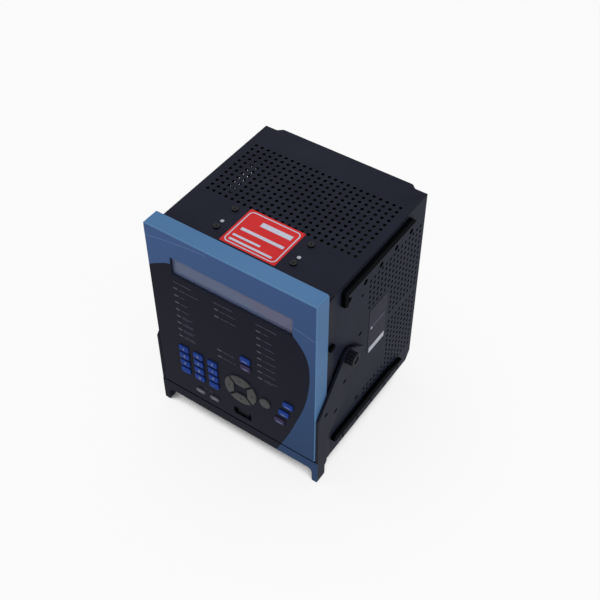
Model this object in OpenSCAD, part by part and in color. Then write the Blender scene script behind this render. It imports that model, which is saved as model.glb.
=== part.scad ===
// Draw-out unit of a panel-mounted protection relay.
// Millimetres. X runs to the right of the face, Y to the back and Z up.
// The origin lies under the middle of the unit, at the lowest point of the handle's feet.

/* [Bezel] */
// Width of the bezel
bezel_w = 214; // [200:1:228]
// Height of the bezel
bezel_h = 251; // [236:1:266]
// Depth of the bezel from its front to its back rim
bezel_d = 21; // [20:0.5:26]
// Side wall of the bezel
bezel_wall = 2.6; // [2:0.1:3.2]
// Front wall of the bezel
face_t = 3; // [2.4:0.1:3.4]
// Radius of the bezel's corners
bezel_corner_r = 3; // [2.8:0.1:4]
// Chamfer along the bezel's front edges
bezel_chamfer = 1.1; // [0.8:0.1:1.3]
// Radius of the posts inside the bezel's corners
boss_r = 4; // [3.5:0.1:5]
// Distance from the bezel's sides to the centres of the posts
boss_inset = 9; // [8:0.5:11]
// Radius of the pin on the end of each post
boss_pin_r = 2; // [1.6:0.1:2.4]

/* [Face overlay] */
// Thickness of the printed overlay
overlay_t = 0.4; // [0.3:0.05:0.6]
// Blank edge of the bezel around the overlay
overlay_inset = 1.4; // [1.4:0.1:2.4]

/* [Display] */
// Width of the display window
window_w = 153.6; // [140:1:166]
// Height of the display window
window_h = 25.5; // [22:0.5:29]
// Thickness of the clear window
window_t = 1.5; // [1:0.1:2]
// How far the clear window reaches past its opening
window_lip = 3; // [2:0.2:4]
// How far the display's frame reaches past the clear window
display_lip = 3; // [2:0.2:4]

/* [Lamps] */
// Width of a lamp bar
lamp_w = 5.6; // [4.8:0.1:6.4]
// Height of a lamp bar
lamp_h = 2.2; // [1.8:0.1:2.6]
// Distance from one lamp to the next below it
lamp_pitch = 10.7; // [9.8:0.1:11]
// Space around a lamp bar in its hole
lamp_gap = 0.1; // [0.05:0.05:0.2]

/* [Keys] */
// Width of a number key
key_w = 13.2; // [11:0.1:14.4]
// Height of a number key
key_h = 9; // [7.5:0.1:9.2]
// Radius of a key's corners
key_r = 2; // [1.2:0.1:2.6]
// Distance from one number key to the next beside it
key_pitch_x = 20.1; // [18.6:0.1:21.5]
// Distance from one number key to the next below it
key_pitch_z = 12.35; // [12.2:0.05:12.7]
// Height of the pale oval keys
oval_h = 5.8; // [4.8:0.1:7]
// Radius of the round key
round_r = 7; // [6:0.1:8]
// How far the keys stand out of the face
key_proud = 1.6; // [1.2:0.1:2.2]
// Space around a key in its hole
key_gap = 0.35; // [0.3:0.05:0.4]
// How far a key's flange reaches past its cap
key_lip = 0.9; // [0.7:0.1:1]
// Thickness of a key's flange
key_flange_t = 1.2; // [1:0.1:1.5]
// Radius of the stem under a key
key_stem_r = 2; // [1.6:0.1:2.4]
// Travel of a key
key_travel = 1; // [0.8:0.1:1.2]
// How far the oval keys lie to the left of the number keys over them
oval_shift = 1.1; // [0:0.1:2]
// Distance from one key of the slanted stack to the next below it
stack_pitch = 16.8; // [14:0.1:18]
// How far each key of the slanted stack lies to the right of the one below it
stack_slant = 5.7; // [4:0.1:7]
// Outer radius of the ring of arrow keys
nav_r = 21.5; // [20:0.1:22]
// Half the width of the field inside the ring
nav_inner_x = 9.2; // [8:0.1:10]
// Half the height of the field inside the ring
nav_inner_z = 7.6; // [7:0.1:8.6]
// Gap between two arrow keys
nav_gap = 2.8; // [2.6:0.1:3.2]

/* [Port] */
// Width of the port's opening
port_w = 24.6; // [23.6:0.1:26]
// Height of the port's opening
port_h = 12.8; // [12.4:0.1:14]
// Radius of the opening's corners
port_r = 2.4; // [1.8:0.1:3]
// Width of the connector's shell
shell_w = 16.4; // [15.8:0.1:17.2]
// Height of the connector's shell
shell_h = 8; // [7.6:0.1:8.4]
// Wall of the connector's shell
shell_wall = 0.5; // [0.4:0.05:0.6]
// How far the connector's face lies inside its shell
shell_recess = 0.5; // [0.3:0.05:0.7]
// Radius of a contact hole in the connector
contact_r = 0.5; // [0.4:0.05:0.6]
// Distance between the connector's contact holes
contact_pitch = 2.77; // [2.6:0.01:2.8]

/* [Chassis] */
// How far the chassis's sides lie inside the bezel's sides
chassis_inset = 1.6; // [1.3:0.1:2.4]
// How far the chassis's top lies under the bezel's top
chassis_top_drop = 11.7; // [9:0.1:14]
// How far the chassis reaches below the bezel
chassis_bottom_drop = 25; // [22:0.5:28]
// Length of the chassis's sides
chassis_len = 190; // [176:1:204]
// Thickness of the sheet metal
sheet_t = 1.5; // [1.2:0.1:1.8]
// Thickness of the subpanel behind the bezel
subpanel_t = 2.5; // [2:0.1:3]
// How far the subpanel's edges lie inside the chassis's faces
subpanel_inset = 1; // [0.6:0.1:1.3]
// Length of the subpanel's folded flanges along the sides
flange_l = 9.5; // [8.5:0.5:11]
// Thickness of those flanges
flange_t = 0.6; // [0.4:0.05:0.8]
// Space around a stop block in its flange
flange_gap = 0.5; // [0.3:0.1:0.8]
// Height of the slope at the bottom cover's back
fold_rise = 12; // [9:0.5:15]
// Run of that slope along the chassis
fold_run = 8; // [6:0.5:10]
// How far the middle of the top cover stands out at the back
cover_tongue = 5; // [4:0.5:7]
// Length of the top cover's corners that stay back
tongue_corner = 14; // [10:0.5:18]
// Run of the slope between a corner of the top cover and its tongue
tongue_slope = 8; // [6:0.5:10]

/* [Vents] */
// Radius of a vent hole
vent_r = 2; // [1.6:0.1:2.3]
// Distance between the top's vent holes across the chassis
cover_vent_pitch_x = 8.1; // [7.6:0.1:8.6]
// Distance between the top's vent holes along the chassis
cover_vent_pitch_y = 8; // [7.6:0.1:8.6]
// Distance from the chassis's front to the top's first vent row
cover_vent_front = 66.3; // [62:0.1:72]
// Blank edge beside the top's vent field
cover_vent_side = 12.2; // [10:0.1:15]
// Blank edge behind the top's vent field
cover_vent_rear = 34; // [28:0.5:40]
// Distance between the side's vent holes along the chassis
side_vent_pitch_y = 7.85; // [7.5:0.05:8.3]
// Distance between the side's vent holes in height
side_vent_pitch_z = 8; // [7.7:0.1:8.4]
// Distance from the chassis's front to the side's first vent column
side_vent_front = 79.7; // [77:0.1:84]
// Blank edge behind the side's vent field
side_vent_rear = 8; // [6:0.5:10]
// Blank edge above the side's vent field
side_vent_top = 39.2; // [36:0.2:42]
// Blank edge below the side's vent field
side_vent_bottom = 33; // [30:0.5:36]
// Length of a slot in the sides
side_slot_l = 7; // [5:0.5:8]
// Width of a slot in the sides
side_slot_w = 2.2; // [1.6:0.1:3]
// Distance between the slots under the upper rail
side_slot_pitch = 30.6; // [26:0.2:34]
// Distance from the chassis's front to the first slot
side_slot_front = 38.2; // [34:0.2:44]
// Height of the slots' centres over the top vent row
side_slot_rise = 7.6; // [6:0.2:9]

/* [Rails] */
// How far the upper rail stands out
upper_rail_proud = 4.6; // [3.5:0.1:5.2]
// Height of the upper rail
upper_rail_h = 8; // [6.5:0.1:9]
// How far the upper rail's top lies under the chassis's top
upper_rail_drop = 6.6; // [5:0.1:9]
// Distance from the chassis's front to the upper rail
upper_rail_front = 22.5; // [20:0.5:26]
// Length of the upper rail
upper_rail_len = 139; // [126:1:150]
// Slope at the back of the upper rail
upper_rail_nose = 7; // [5:0.5:9]
// Length of the tab under the front of the upper rail
rail_tab_h = 16; // [13:0.5:18]
// Width of that tab
rail_tab_w = 6.5; // [5:0.1:8]
// How far the lower rail stands out
lower_rail_proud = 4.6; // [3.5:0.1:5.2]
// Height of the lower rail
lower_rail_h = 10; // [8:0.5:12]
// Height of the lower rail's underside over the chassis's bottom
lower_rail_rise = 23; // [20:0.5:25]
// Distance from the chassis's front to the lower rail
lower_rail_front = 12; // [11:0.5:15]
// Length of the lower rail
lower_rail_len = 150; // [140:1:160]
// Length of the slope at the back of the lower rail
lower_rail_nose = 34; // [28:1:40]
// Height left at the tip of that slope
lower_rail_tip = 2; // [1.6:0.1:3]

/* [Handle] */
// Distance from the bezel's front to the handle's pivot
pivot_y = 57; // [54:0.5:60]
// Height of the pivot over the bezel's bottom edge
pivot_z = 129; // [126:0.5:134]
// Space between the bezel's side and the handle's arm
arm_gap = 0.4; // [0.35:0.05:0.6]
// Thickness of an arm
arm_t = 3.3; // [2.8:0.1:4]
// Width of an arm
arm_w = 43; // [39:0.5:46]
// Slope of an arm from the horizontal, in degrees
arm_angle = 51.7; // [49:0.1:54]
// Radius of an arm's rounded end around the pivot
arm_end_r = 10; // [9.4:0.1:12]
// Radius of an arm's other corners
arm_corner_r = 3; // [2:0.1:4]
// Distance from the bezel's front to the handle's front
handle_front = 1; // [0.8:0.1:1.4]
// Distance from the handle's front to the back edge of the upright part
heel_d = 18.4; // [16.5:0.1:19.2]
// Height of the handle's bar
bar_h = 14.4; // [12:0.2:16]
// Depth of the handle's bar
bar_d = 15.2; // [13:0.2:17]
// Gap between the bezel's bottom corner and the bar
bar_gap = 1.2; // [0.8:0.1:1.6]
// Wall around the hollows in the back of the bar
bar_wall = 2.4; // [2:0.1:2.8]
// Thickness of a rib between those hollows
rib_t = 2; // [1.6:0.1:3]
// How far the feet reach below the bezel
foot_drop = 38.5; // [36:0.5:41]
// Width of a foot
foot_w = 7.4; // [6.5:0.1:8.6]
// How much higher a foot's back edge is than its front edge
foot_rise = 3.6; // [3:0.1:4.4]
// Depth of a foot
foot_d = 14.6; // [12:0.2:16]
// Radius of the curve between the bar and a foot
foot_fillet_r = 7; // [5:0.5:9]
// Thickness of the strip on the handle's front
fascia_t = 0.5; // [0.4:0.05:0.7]
// Length of a slot in an arm
arm_slot_l = 6.5; // [5:0.5:8]
// Width of a slot in an arm
arm_slot_w = 2.8; // [2:0.1:3.4]

/* [Pivot] */
// Radius of the pivot screw's shoulder
shoulder_r = 5; // [4.6:0.1:5.4]
// Running clearance around the shoulder
pivot_gap = 0.05; // [0.04:0.01:0.08]
// Radius of the knob
knob_r = 8; // [7.2:0.1:8.8]
// Length of the knob
knob_l = 9; // [7.5:0.1:10]
// Radius of the flutes around the knob
knob_flute_r = 1.3; // [1:0.1:1.5]
// Chamfer and recess on the knob's end
knob_edge = 1; // [0.6:0.1:1.4]
// Space between the knob and the arm
knob_gap = 0.3; // [0.3:0.05:0.5]
// Radius of the pivot screw's thread
thread_r = 3; // [2.6:0.1:3.4]
// Length of the thread inside the side panel
thread_l = 6; // [5:0.5:8]

/* [Stop blocks] */
// How far a stop block stands out of the chassis
stop_proud = 4; // [3.6:0.1:4.6]
// Depth of a stop block
stop_d = 8; // [7:0.5:9]
// Height of a stop block
stop_h = 5; // [4:0.5:6]
// Height of a stop block's underside over the pivot
stop_rise = 37; // [36:0.5:39]

/* [Labels and fasteners] */
// Width of the label on the top
top_label_w = 69; // [62:0.5:74]
// Length of the label on the top
top_label_l = 56; // [50:0.5:60]
// Distance from the chassis's front to the label on the top
top_label_front = 9; // [7:0.5:9.8]
// Thickness of the labels
label_t = 0.3; // [0.2:0.05:0.4]
// Length of the label on the right side
side_label_l = 37; // [34:0.5:38]
// Height of the label on the right side
side_label_h = 71; // [64:1:76]
// Radius of a cover screw's head
screw_head_r = 3.4; // [3:0.1:3.8]
// Height of a cover screw's head
screw_head_h = 2; // [1.6:0.1:2.4]
// Radius of a cover screw's shank
screw_r = 1.5; // [1.3:0.1:1.7]
// Length of a cover screw's shank
screw_l = 6; // [5:0.5:8]
// Width of the hexagon recess in a screw's head
screw_recess_w = 2.4; // [2:0.1:2.8]
// Distance between the cover screws across the chassis
screw_span = 96; // [88:1:104]
// Distance between the cover screws along the chassis
screw_pitch = 32; // [28:1:36]
// Distance from the chassis's front to the first cover screws
screw_front = 22.5; // [20:0.5:26]
// Radius of a rivet's head
rivet_head_r = 2.2; // [1.8:0.1:2.6]
// Radius of a rivet's shank
rivet_r = 1.4; // [1.2:0.1:1.6]
// Height of a rivet's head
rivet_head_h = 0.8; // [0.6:0.1:1]
// Distance from the first cover screws to the rivets behind them
rivet_offset = 10; // [9:0.2:12]
// Thickness of the bracket under the cover screws
bracket_t = 2; // [1.6:0.1:2.6]
// Edge of the bracket around the cover screws
bracket_edge = 7; // [6:0.5:9]
// Height of the bracket's legs
bracket_leg_h = 24; // [20:1:28]

/* [Boards] */
// Thickness of a circuit board
board_t = 1.6; // [1.2:0.1:2]
// Distance from the bezel's front to the key board
key_board_y = 11; // [10.4:0.1:12]
// Edge of the bezel's hollow around the key board
key_board_edge = 1; // [0.6:0.1:1.6]
// Length of the plug that joins the key board to the subpanel
header_l = 60; // [50:1:70]
// Height of that plug
header_h = 9; // [8:0.5:11]
// Distance of the outer boards from the middle
board_x = 64; // [60:1:70]
// Gap between the boards and what lies over them
board_gap = 0.3; // [0.25:0.05:0.5]
// Radius of a ring transformer
ring_r = 17; // [14:0.5:19]
// Radius of the hole through a ring transformer
ring_hole_r = 6.5; // [5:0.5:8]
// Height of a ring transformer
ring_h = 18; // [15:0.5:22]
// Distance between ring transformers
ring_pitch = 42; // [40:1:46]
// Distance from the chassis's front to the first ring transformer
ring_front = 40; // [36:1:46]
// Length of an output relay
relay_l = 29; // [26:0.5:31]
// Height of an output relay
relay_h = 13; // [11:0.5:15]
// Depth of an output relay from its board
relay_d = 16; // [13:0.5:19]
// Distance between output relays
relay_pitch = 24; // [20:1:28]
// Distance from the chassis's front to the output relays
relay_front = 120; // [110:1:128]
// Height of the lowest output relay over the chassis's bottom
relay_rise = 60; // [54:1:66]

/* [Rear contacts] */
// Width of a contact block
block_w = 160; // [148:1:164]
// Border of the rear panel over and under its two contact blocks
rear_rim = 19; // [16:0.5:22]
// Space between the two contact blocks
block_space = 38; // [32:1:44]
// Space around a contact block in its window
block_gap = 0.2; // [0.15:0.05:0.3]
// Width of a contact blade
blade_w = 6.4; // [5.5:0.1:7]
// Thickness of a contact blade
blade_t = 1.2; // [0.8:0.1:1.5]
// How far a contact blade stands out of its block
blade_l = 10; // [8:0.5:12]
// Space around a blade in its slot
blade_gap = 0.1; // [0.05:0.05:0.15]
// Distance between blades across a block
blade_pitch_x = 12.6; // [11:0.1:13]
// Distance between rows of blades as a share of a contact block's height
blade_row_share = 0.3; // [0.27:0.01:0.33]

/* [Hidden] */
$fn = 48;
overrun = 1;

number_cols = 3;
number_rows = 4;
stack_keys = 3;
lamp_rows = 8;
ring_rows = 3;
relay_rows = 5;
blade_cols = 12;
blade_rows = 3;
arm_slots = 3;
knob_flutes = 12;
arc_steps = 8;
pocket_count = 8;
port_contacts = 5;

// Rows and columns of the side's vent field, counted from its top front corner.
label_cols = 6;
upper_rows = 6;
blank_row = 12;
foot_rows = 3;

// Spaces on the face from its bottom up, as shares of the height that its rows leave free:
// under the oval keys, under the number keys, under the lamps and under the window.
row_shares = [0.1409, 0.1800, 0.1530, 0.1849];
// Spaces on the face from its left edge, as shares of the width that its keys leave free:
// before the number keys, the arrow keys, the round key and the slanted stack.
column_shares = [0.3870, 0.1290, 0.0557, 0.0709];
// Places across the face, as shares of the bezel's width from its middle.
lamp_left_share = -0.3364;
lamp_mid_share = -0.0842;
lamp_right_share = 0.1673;
window_x_share = 0.0084;
help_x_share = 0.0804;

// Places of an arm's slots: share of its length below the pivot, share of its width behind its front edge.
arm_slot_shares = [[0.216, 0.627], [0.482, 0.286], [0.469, 0.812]];

face_back = overlay_t + face_t;
number_span_x = (number_cols - 1) * key_pitch_x;
number_span_z = (number_rows - 1) * key_pitch_z;
lamp_span = (lamp_rows - 1) * lamp_pitch;
stack_span = (stack_keys - 1) * stack_slant;
free_h = bezel_h - oval_h - number_span_z - key_h - lamp_span - lamp_h - window_h;
free_w = bezel_w - number_span_x - key_w - 2 * nav_r - 2 * round_r - key_w - stack_span;

oval_z = row_shares[0] * free_h + oval_h / 2;
number_low = oval_z + oval_h / 2 + row_shares[1] * free_h + key_h / 2;
number_mid = number_low + number_span_z / 2;
lamp_low = number_low + number_span_z + key_h / 2 + row_shares[2] * free_h + lamp_h / 2;
window_z = lamp_low + lamp_span + lamp_h / 2 + row_shares[3] * free_h + window_h / 2;
window_x = window_x_share * bezel_w;
number_left = -bezel_w / 2 + column_shares[0] * free_w + key_w / 2;
nav_x = number_left + number_span_x + key_w / 2 + column_shares[1] * free_w + nav_r;
round_x = nav_x + nav_r + column_shares[2] * free_w + round_r;
stack_left = round_x + round_r + column_shares[3] * free_w + key_w / 2;
help_x = help_x_share * bezel_w;

chassis_w = bezel_w - 2 * chassis_inset;
chassis_front = bezel_d + subpanel_t;
chassis_back = chassis_front + chassis_len;
chassis_top = bezel_h - chassis_top_drop;
chassis_bottom = -chassis_bottom_drop;
chassis_mid = (chassis_top + chassis_bottom) / 2;
cover_back = chassis_back + cover_tongue;
side_face = chassis_w / 2;
side_inner = side_face - sheet_t;
fold_t = sheet_t * norm([fold_run, fold_rise]) / fold_run;
fold_start = chassis_back - fold_run - (fold_t - sheet_t) * fold_run / fold_rise;
fold_top = chassis_bottom + fold_rise + fold_t;
board_back = fold_start - board_gap;
block_low = fold_top + rear_rim;
block_high = chassis_top - sheet_t - rear_rim;
block_h = (block_high - block_low - block_space) / 2;
blade_pitch_z = blade_row_share * block_h;

arm_in = bezel_w / 2 + arm_gap;
arm_out = arm_in + arm_t;
arm_boss_in = side_face + arm_gap;
bar_reach = norm([pivot_y, pivot_z]) + bar_gap;
bar_top = pivot_z - sqrt(pow(bar_reach, 2) - pow(pivot_y - handle_front, 2));
bar_bottom = bar_top - bar_h;
heel_y = handle_front + heel_d;
heel_low = bar_bottom - foot_rise;

blade_tip = cover_back + blade_l;
unit_front = -key_proud;
place_y = -(unit_front + blade_tip) / 2;

stem_end = key_board_y - key_travel - key_gap / 2;
flange_y = face_back + key_gap;

cover_cols = floor((chassis_w - 2 * cover_vent_side) / cover_vent_pitch_x) + 1;
cover_rows = floor((chassis_len - cover_vent_front - cover_vent_rear) / cover_vent_pitch_y) + 1;
side_cols = floor((chassis_len - side_vent_front - side_vent_rear) / side_vent_pitch_y) + 1;
side_rows = floor((chassis_top - chassis_bottom - side_vent_top - side_vent_bottom) / side_vent_pitch_z) + 1;
side_slots = floor((chassis_len - side_slot_front - side_slot_pitch / 2) / side_slot_pitch) + 1;

function arc(y, z, r, from, to) =
    [for (i = [0:arc_steps]) let (a = from + (to - from) * i / arc_steps) [y + r * cos(a), z + r * sin(a)]];

// Everything below is drawn from the bezel's front face and bottom edge, and set down here.
module place() {
    translate([0, place_y, foot_drop]) children();
}

module rounded(w, h, r) {
    union() {
        square([w - 2 * r, h], center = true);
        square([w, h - 2 * r], center = true);
        for (sx = [-1, 1]) for (sz = [-1, 1])
            translate([sx * (w / 2 - r), sz * (h / 2 - r)]) circle(r);
    }
}

module slot(l, w) {
    union() {
        square([l - w, w], center = true);
        for (s = [-1, 1]) translate([s * (l - w) / 2, 0]) circle(w / 2);
    }
}

// A drawing in X and Z, given a thickness towards the back.
module on_face(y, t) {
    translate([0, y + t, 0]) rotate([90, 0, 0]) linear_extrude(t) children();
}

// A drawing in Y and Z, given a thickness towards the right.
module on_side(x, t) {
    translate([x, 0, 0]) rotate([90, 0, 90]) linear_extrude(t) children();
}

module both_sides() {
    children();
    mirror([1, 0, 0]) children();
}

module left_side() {
    mirror([1, 0, 0]) children();
}

function number_x(c) = number_left + c * key_pitch_x;
function number_z(r) = number_low + number_span_z - r * key_pitch_z;
function lamp_z(r) = lamp_low + lamp_span - r * lamp_pitch;
function oval_x(c) = number_x(c) - oval_shift;
function help_z(i) = lamp_z(lamp_rows - 2) + (1 / 2 - i) * key_pitch_z;
function stack_x(i) = stack_left + stack_span - i * stack_slant;
function stack_z(i) = number_mid + ((stack_keys - 1) / 2 - i) * stack_pitch;

// Two lamps head the middle column and two stand at its foot.
module lamp_places() {
    for (s = [lamp_left_share, lamp_right_share]) for (r = [0:lamp_rows - 1])
        translate([s * bezel_w, lamp_z(r)]) children();
    for (r = [0, 1, lamp_rows - 2, lamp_rows - 1])
        translate([lamp_mid_share * bezel_w, lamp_z(r)]) children();
}

// Outline of an arrow key: a piece of a ring around an oblong field, above the middle.
module nav_outline(inner, grow, lip) {
    edge = (nav_gap / 2 - grow) * sqrt(2);
    low = inner - grow;
    far = 2 * nav_r;
    intersection() {
        circle(nav_r + grow + lip);
        polygon([[-(low - edge), low], [low - edge, low], [far - edge, far], [-(far - edge), far]]);
    }
}

module nav_place(turn) {
    translate([nav_x, number_mid]) rotate(turn) children();
}

module key_hole_outlines() {
    hole_w = key_w + 2 * key_gap;
    hole_h = key_h + 2 * key_gap;
    for (c = [0:number_cols - 1]) for (r = [0:number_rows - 1])
        translate([number_x(c), number_z(r)]) rounded(hole_w, hole_h, key_r);
    for (i = [0, 1]) translate([help_x, help_z(i)]) rounded(hole_w, hole_h, key_r);
    for (i = [0:stack_keys - 1]) translate([stack_x(i), stack_z(i)]) rounded(hole_w, hole_h, key_r);
    for (turn = [0, 180]) nav_place(turn) nav_outline(nav_inner_z, key_gap, 0);
    for (turn = [90, 270]) nav_place(turn) nav_outline(nav_inner_x, key_gap, 0);
    translate([round_x, number_mid]) circle(round_r + key_gap);
    for (c = [1, 2]) translate([oval_x(c), oval_z]) slot(hole_w, oval_h + 2 * key_gap);
}

module port_outline() {
    translate([nav_x, oval_z]) rounded(port_w, port_h, port_r);
}

module window_outline(lip) {
    translate([window_x, window_z]) square([window_w + 2 * lip, window_h + 2 * lip], center = true);
}

module lamp_outline(gap) {
    lamp_places() square([lamp_w + 2 * gap, lamp_h + 2 * gap], center = true);
}

module bezel_outline(inset) {
    translate([0, bezel_h / 2])
        rounded(bezel_w - 2 * inset, bezel_h - 2 * inset, bezel_corner_r);
}

module boss_places() {
    for (sx = [-1, 1]) for (z = [boss_inset, bezel_h - boss_inset])
        translate([sx * (bezel_w / 2 - boss_inset), z]) children();
}

module bezel() color([0.27, 0.42, 0.60]) place() {
    chamfer = [[-overrun, -overrun], [bezel_chamfer + overrun, -overrun], [-overrun, bezel_chamfer + overrun]];
    union() {
        difference() {
            on_face(overlay_t, bezel_d - overlay_t) bezel_outline(0);
            on_face(face_back, bezel_d) bezel_outline(bezel_wall);
            for (s = [-1, 1]) translate([s * bezel_w / 2, overlay_t, -overrun])
                linear_extrude(bezel_h + 2 * overrun)
                    polygon([for (p = chamfer) [-s * p[0], p[1]]]);
            on_side(-bezel_w, 2 * bezel_w) translate([overlay_t, 0])
                polygon([for (p = chamfer) [p[1], p[0]]]);
            on_side(-bezel_w, 2 * bezel_w) translate([overlay_t, bezel_h])
                polygon([for (p = chamfer) [p[1], -p[0]]]);
            on_face(-overrun, face_back + 2 * overrun) union() {
                window_outline(0);
                lamp_outline(lamp_gap);
                key_hole_outlines();
                port_outline();
            }
        }
        on_face(face_back, bezel_d - face_back) boss_places() circle(boss_r);
        on_face(bezel_d, subpanel_t) boss_places() circle(boss_pin_r);
    }
}

module face_overlay() color([0.13, 0.14, 0.17]) place()
    on_face(0, overlay_t) difference() {
        bezel_outline(overlay_inset);
        window_outline(0);
        lamp_outline(lamp_gap);
        key_hole_outlines();
        port_outline();
    }

module display_window() color([0.75, 0.78, 0.85, 0.4]) place()
    on_face(face_back, window_t) window_outline(window_lip);

module display_module() color([0.38, 0.37, 0.48]) place()
    on_face(face_back + window_t, key_board_y - face_back - window_t)
        window_outline(window_lip + display_lip);

module lamp_lenses() color([0.80, 0.82, 0.86]) place()
    on_face(0, key_board_y) lamp_outline(0);

module shell_outline(w, h) {
    slant = h / 8;
    polygon([[-w / 2 + slant, -h / 2], [w / 2 - slant, -h / 2], [w / 2, h / 2], [-w / 2, h / 2]]);
}

module contact_row(count, z) {
    for (i = [0:count - 1]) translate([(i - (count - 1) / 2) * contact_pitch, z]) circle(contact_r);
}

module port_connector() color([0.30, 0.31, 0.33]) place() {
    shell_front = overlay_t + face_t / 2;
    insert_front = shell_front + shell_recess;
    translate([nav_x, 0, oval_z]) union() {
        on_face(flange_y, key_board_y - flange_y) rounded(port_w, port_h, port_r);
        on_face(shell_front, key_board_y - shell_front) difference() {
            shell_outline(shell_w, shell_h);
            shell_outline(shell_w - 2 * shell_wall, shell_h - 2 * shell_wall);
        }
        on_face(insert_front, key_board_y - insert_front) difference() {
            shell_outline(shell_w - shell_wall, shell_h - shell_wall);
            contact_row(port_contacts, contact_pitch / 2);
            contact_row(port_contacts - 1, -contact_pitch / 2);
        }
    }
}

module key_board() color([0.10, 0.32, 0.16]) place() union() {
    on_face(key_board_y, board_t) difference() {
        bezel_outline(bezel_wall + key_board_edge);
        boss_places() circle(boss_r + key_board_edge);
    }
    on_face(key_board_y, bezel_d - key_board_y)
        translate([0, bezel_h / 2]) square([header_l, header_h], center = true);
}

module key_block(x, z) {
    union() {
        on_face(unit_front, flange_y - unit_front) translate([x, z]) children(0);
        on_face(flange_y, key_flange_t) translate([x, z]) children(1);
        on_face(flange_y, stem_end - flange_y) translate([x, z]) circle(key_stem_r);
    }
}

module cap_key(x, z) {
    key_block(x, z) {
        rounded(key_w, key_h, key_r);
        rounded(key_w + 2 * key_lip, key_h + 2 * key_lip, key_r);
    }
}

module oval_key(x, z) {
    key_block(x, z) {
        slot(key_w, oval_h);
        slot(key_w + 2 * key_lip, oval_h + 2 * key_lip);
    }
}

module nav_key(turn, inner) {
    reach = (nav_r + inner) / 2;
    union() {
        on_face(unit_front, flange_y - unit_front) nav_place(turn) nav_outline(inner, 0, 0);
        on_face(flange_y, key_flange_t) nav_place(turn) nav_outline(inner, 0, key_lip);
        on_face(flange_y, stem_end - flange_y) nav_place(turn) translate([0, reach]) circle(key_stem_r);
    }
}

module number_key(c, r) {
    cap_key(number_x(c), number_z(r));
}

module key_one() color([0.16, 0.30, 0.70]) place() number_key(0, 0);
module key_two() color([0.16, 0.30, 0.70]) place() number_key(1, 0);
module key_three() color([0.16, 0.30, 0.70]) place() number_key(2, 0);
module key_four() color([0.16, 0.30, 0.70]) place() number_key(0, 1);
module key_five() color([0.16, 0.30, 0.70]) place() number_key(1, 1);
module key_six() color([0.16, 0.30, 0.70]) place() number_key(2, 1);
module key_seven() color([0.16, 0.30, 0.70]) place() number_key(0, 2);
module key_eight() color([0.16, 0.30, 0.70]) place() number_key(1, 2);
module key_nine() color([0.16, 0.30, 0.70]) place() number_key(2, 2);
module key_left_blank() color([0.16, 0.30, 0.70]) place() number_key(0, 3);
module key_zero() color([0.16, 0.30, 0.70]) place() number_key(1, 3);
module key_dot() color([0.16, 0.30, 0.70]) place() number_key(2, 3);
module key_help() color([0.16, 0.30, 0.70]) place() cap_key(help_x, help_z(0));
module key_message() color([0.42, 0.35, 0.55]) place() cap_key(help_x, help_z(1));
module key_up() color([0.45, 0.45, 0.46]) place() nav_key(0, nav_inner_z);
module key_left() color([0.45, 0.45, 0.46]) place() nav_key(90, nav_inner_x);
module key_down() color([0.45, 0.45, 0.46]) place() nav_key(180, nav_inner_z);
module key_right() color([0.45, 0.45, 0.46]) place() nav_key(270, nav_inner_x);

module key_round() color([0.45, 0.45, 0.46]) place()
    key_block(round_x, number_mid) {
        circle(round_r);
        circle(round_r + key_lip);
    }

module key_reset() color([0.60, 0.60, 0.61]) place() oval_key(oval_x(1), oval_z);
module key_next() color([0.60, 0.60, 0.61]) place() oval_key(oval_x(2), oval_z);
module key_setpoint() color([0.16, 0.30, 0.70]) place() cap_key(stack_x(0), stack_z(0));
module key_actual() color([0.16, 0.30, 0.70]) place() cap_key(stack_x(1), stack_z(1));
module key_store() color([0.42, 0.35, 0.55]) place() cap_key(stack_x(2), stack_z(2));

// A plate folded back along the sides over the side panels, with windows for the stop blocks.
module front_subpanel() color([0.16, 0.17, 0.18]) place() union() {
    panel_low = chassis_bottom + subpanel_inset;
    panel_h = chassis_top - chassis_bottom - 2 * subpanel_inset;
    on_face(bezel_d, subpanel_t) difference() {
        translate([0, chassis_mid]) square([chassis_w + 2 * flange_t, panel_h], center = true);
        boss_places() circle(boss_pin_r + blade_gap);
    }
    both_sides() on_side(side_face, flange_t) difference() {
        translate([bezel_d, panel_low]) square([subpanel_t + flange_l, panel_h]);
        translate([chassis_front, pivot_z + stop_rise - flange_gap])
            square([stop_d + flange_gap, stop_h + 2 * flange_gap]);
    }
}

module cover_outline() {
    w = side_face;
    // One side of the tongue, as a smooth step from the corner to the back edge.
    step = [for (i = [0:arc_steps]) let (t = i / arc_steps)
        [w - tongue_corner - t * tongue_slope, chassis_back + cover_tongue * (1 - cos(180 * t)) / 2]];
    polygon(concat([[-w, chassis_front], [w, chassis_front], [w, chassis_back]], step,
        [for (i = [0:arc_steps]) let (p = step[arc_steps - i]) [-p[0], p[1]]], [[-w, chassis_back]]));
}

module cover_vents() {
    for (c = [0:cover_cols - 1]) for (r = [0:cover_rows - 1])
        translate([(c - (cover_cols - 1) / 2) * cover_vent_pitch_x,
            chassis_front + cover_vent_front + r * cover_vent_pitch_y]) circle(vent_r);
}

module screw_places() {
    for (s = [-1, 1]) for (i = [0, 1])
        translate([s * screw_span / 2, chassis_front + screw_front + i * screw_pitch]) children();
}

module rivet_places() {
    for (s = [-1, 1])
        translate([s * screw_span / 2, chassis_front + screw_front + rivet_offset]) children();
}

module top_cover() color([0.13, 0.13, 0.15]) place()
    translate([0, 0, chassis_top - sheet_t]) linear_extrude(sheet_t) difference() {
        cover_outline();
        cover_vents();
        screw_places() circle(screw_r + blade_gap);
        rivet_places() circle(rivet_r);
    }

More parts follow.
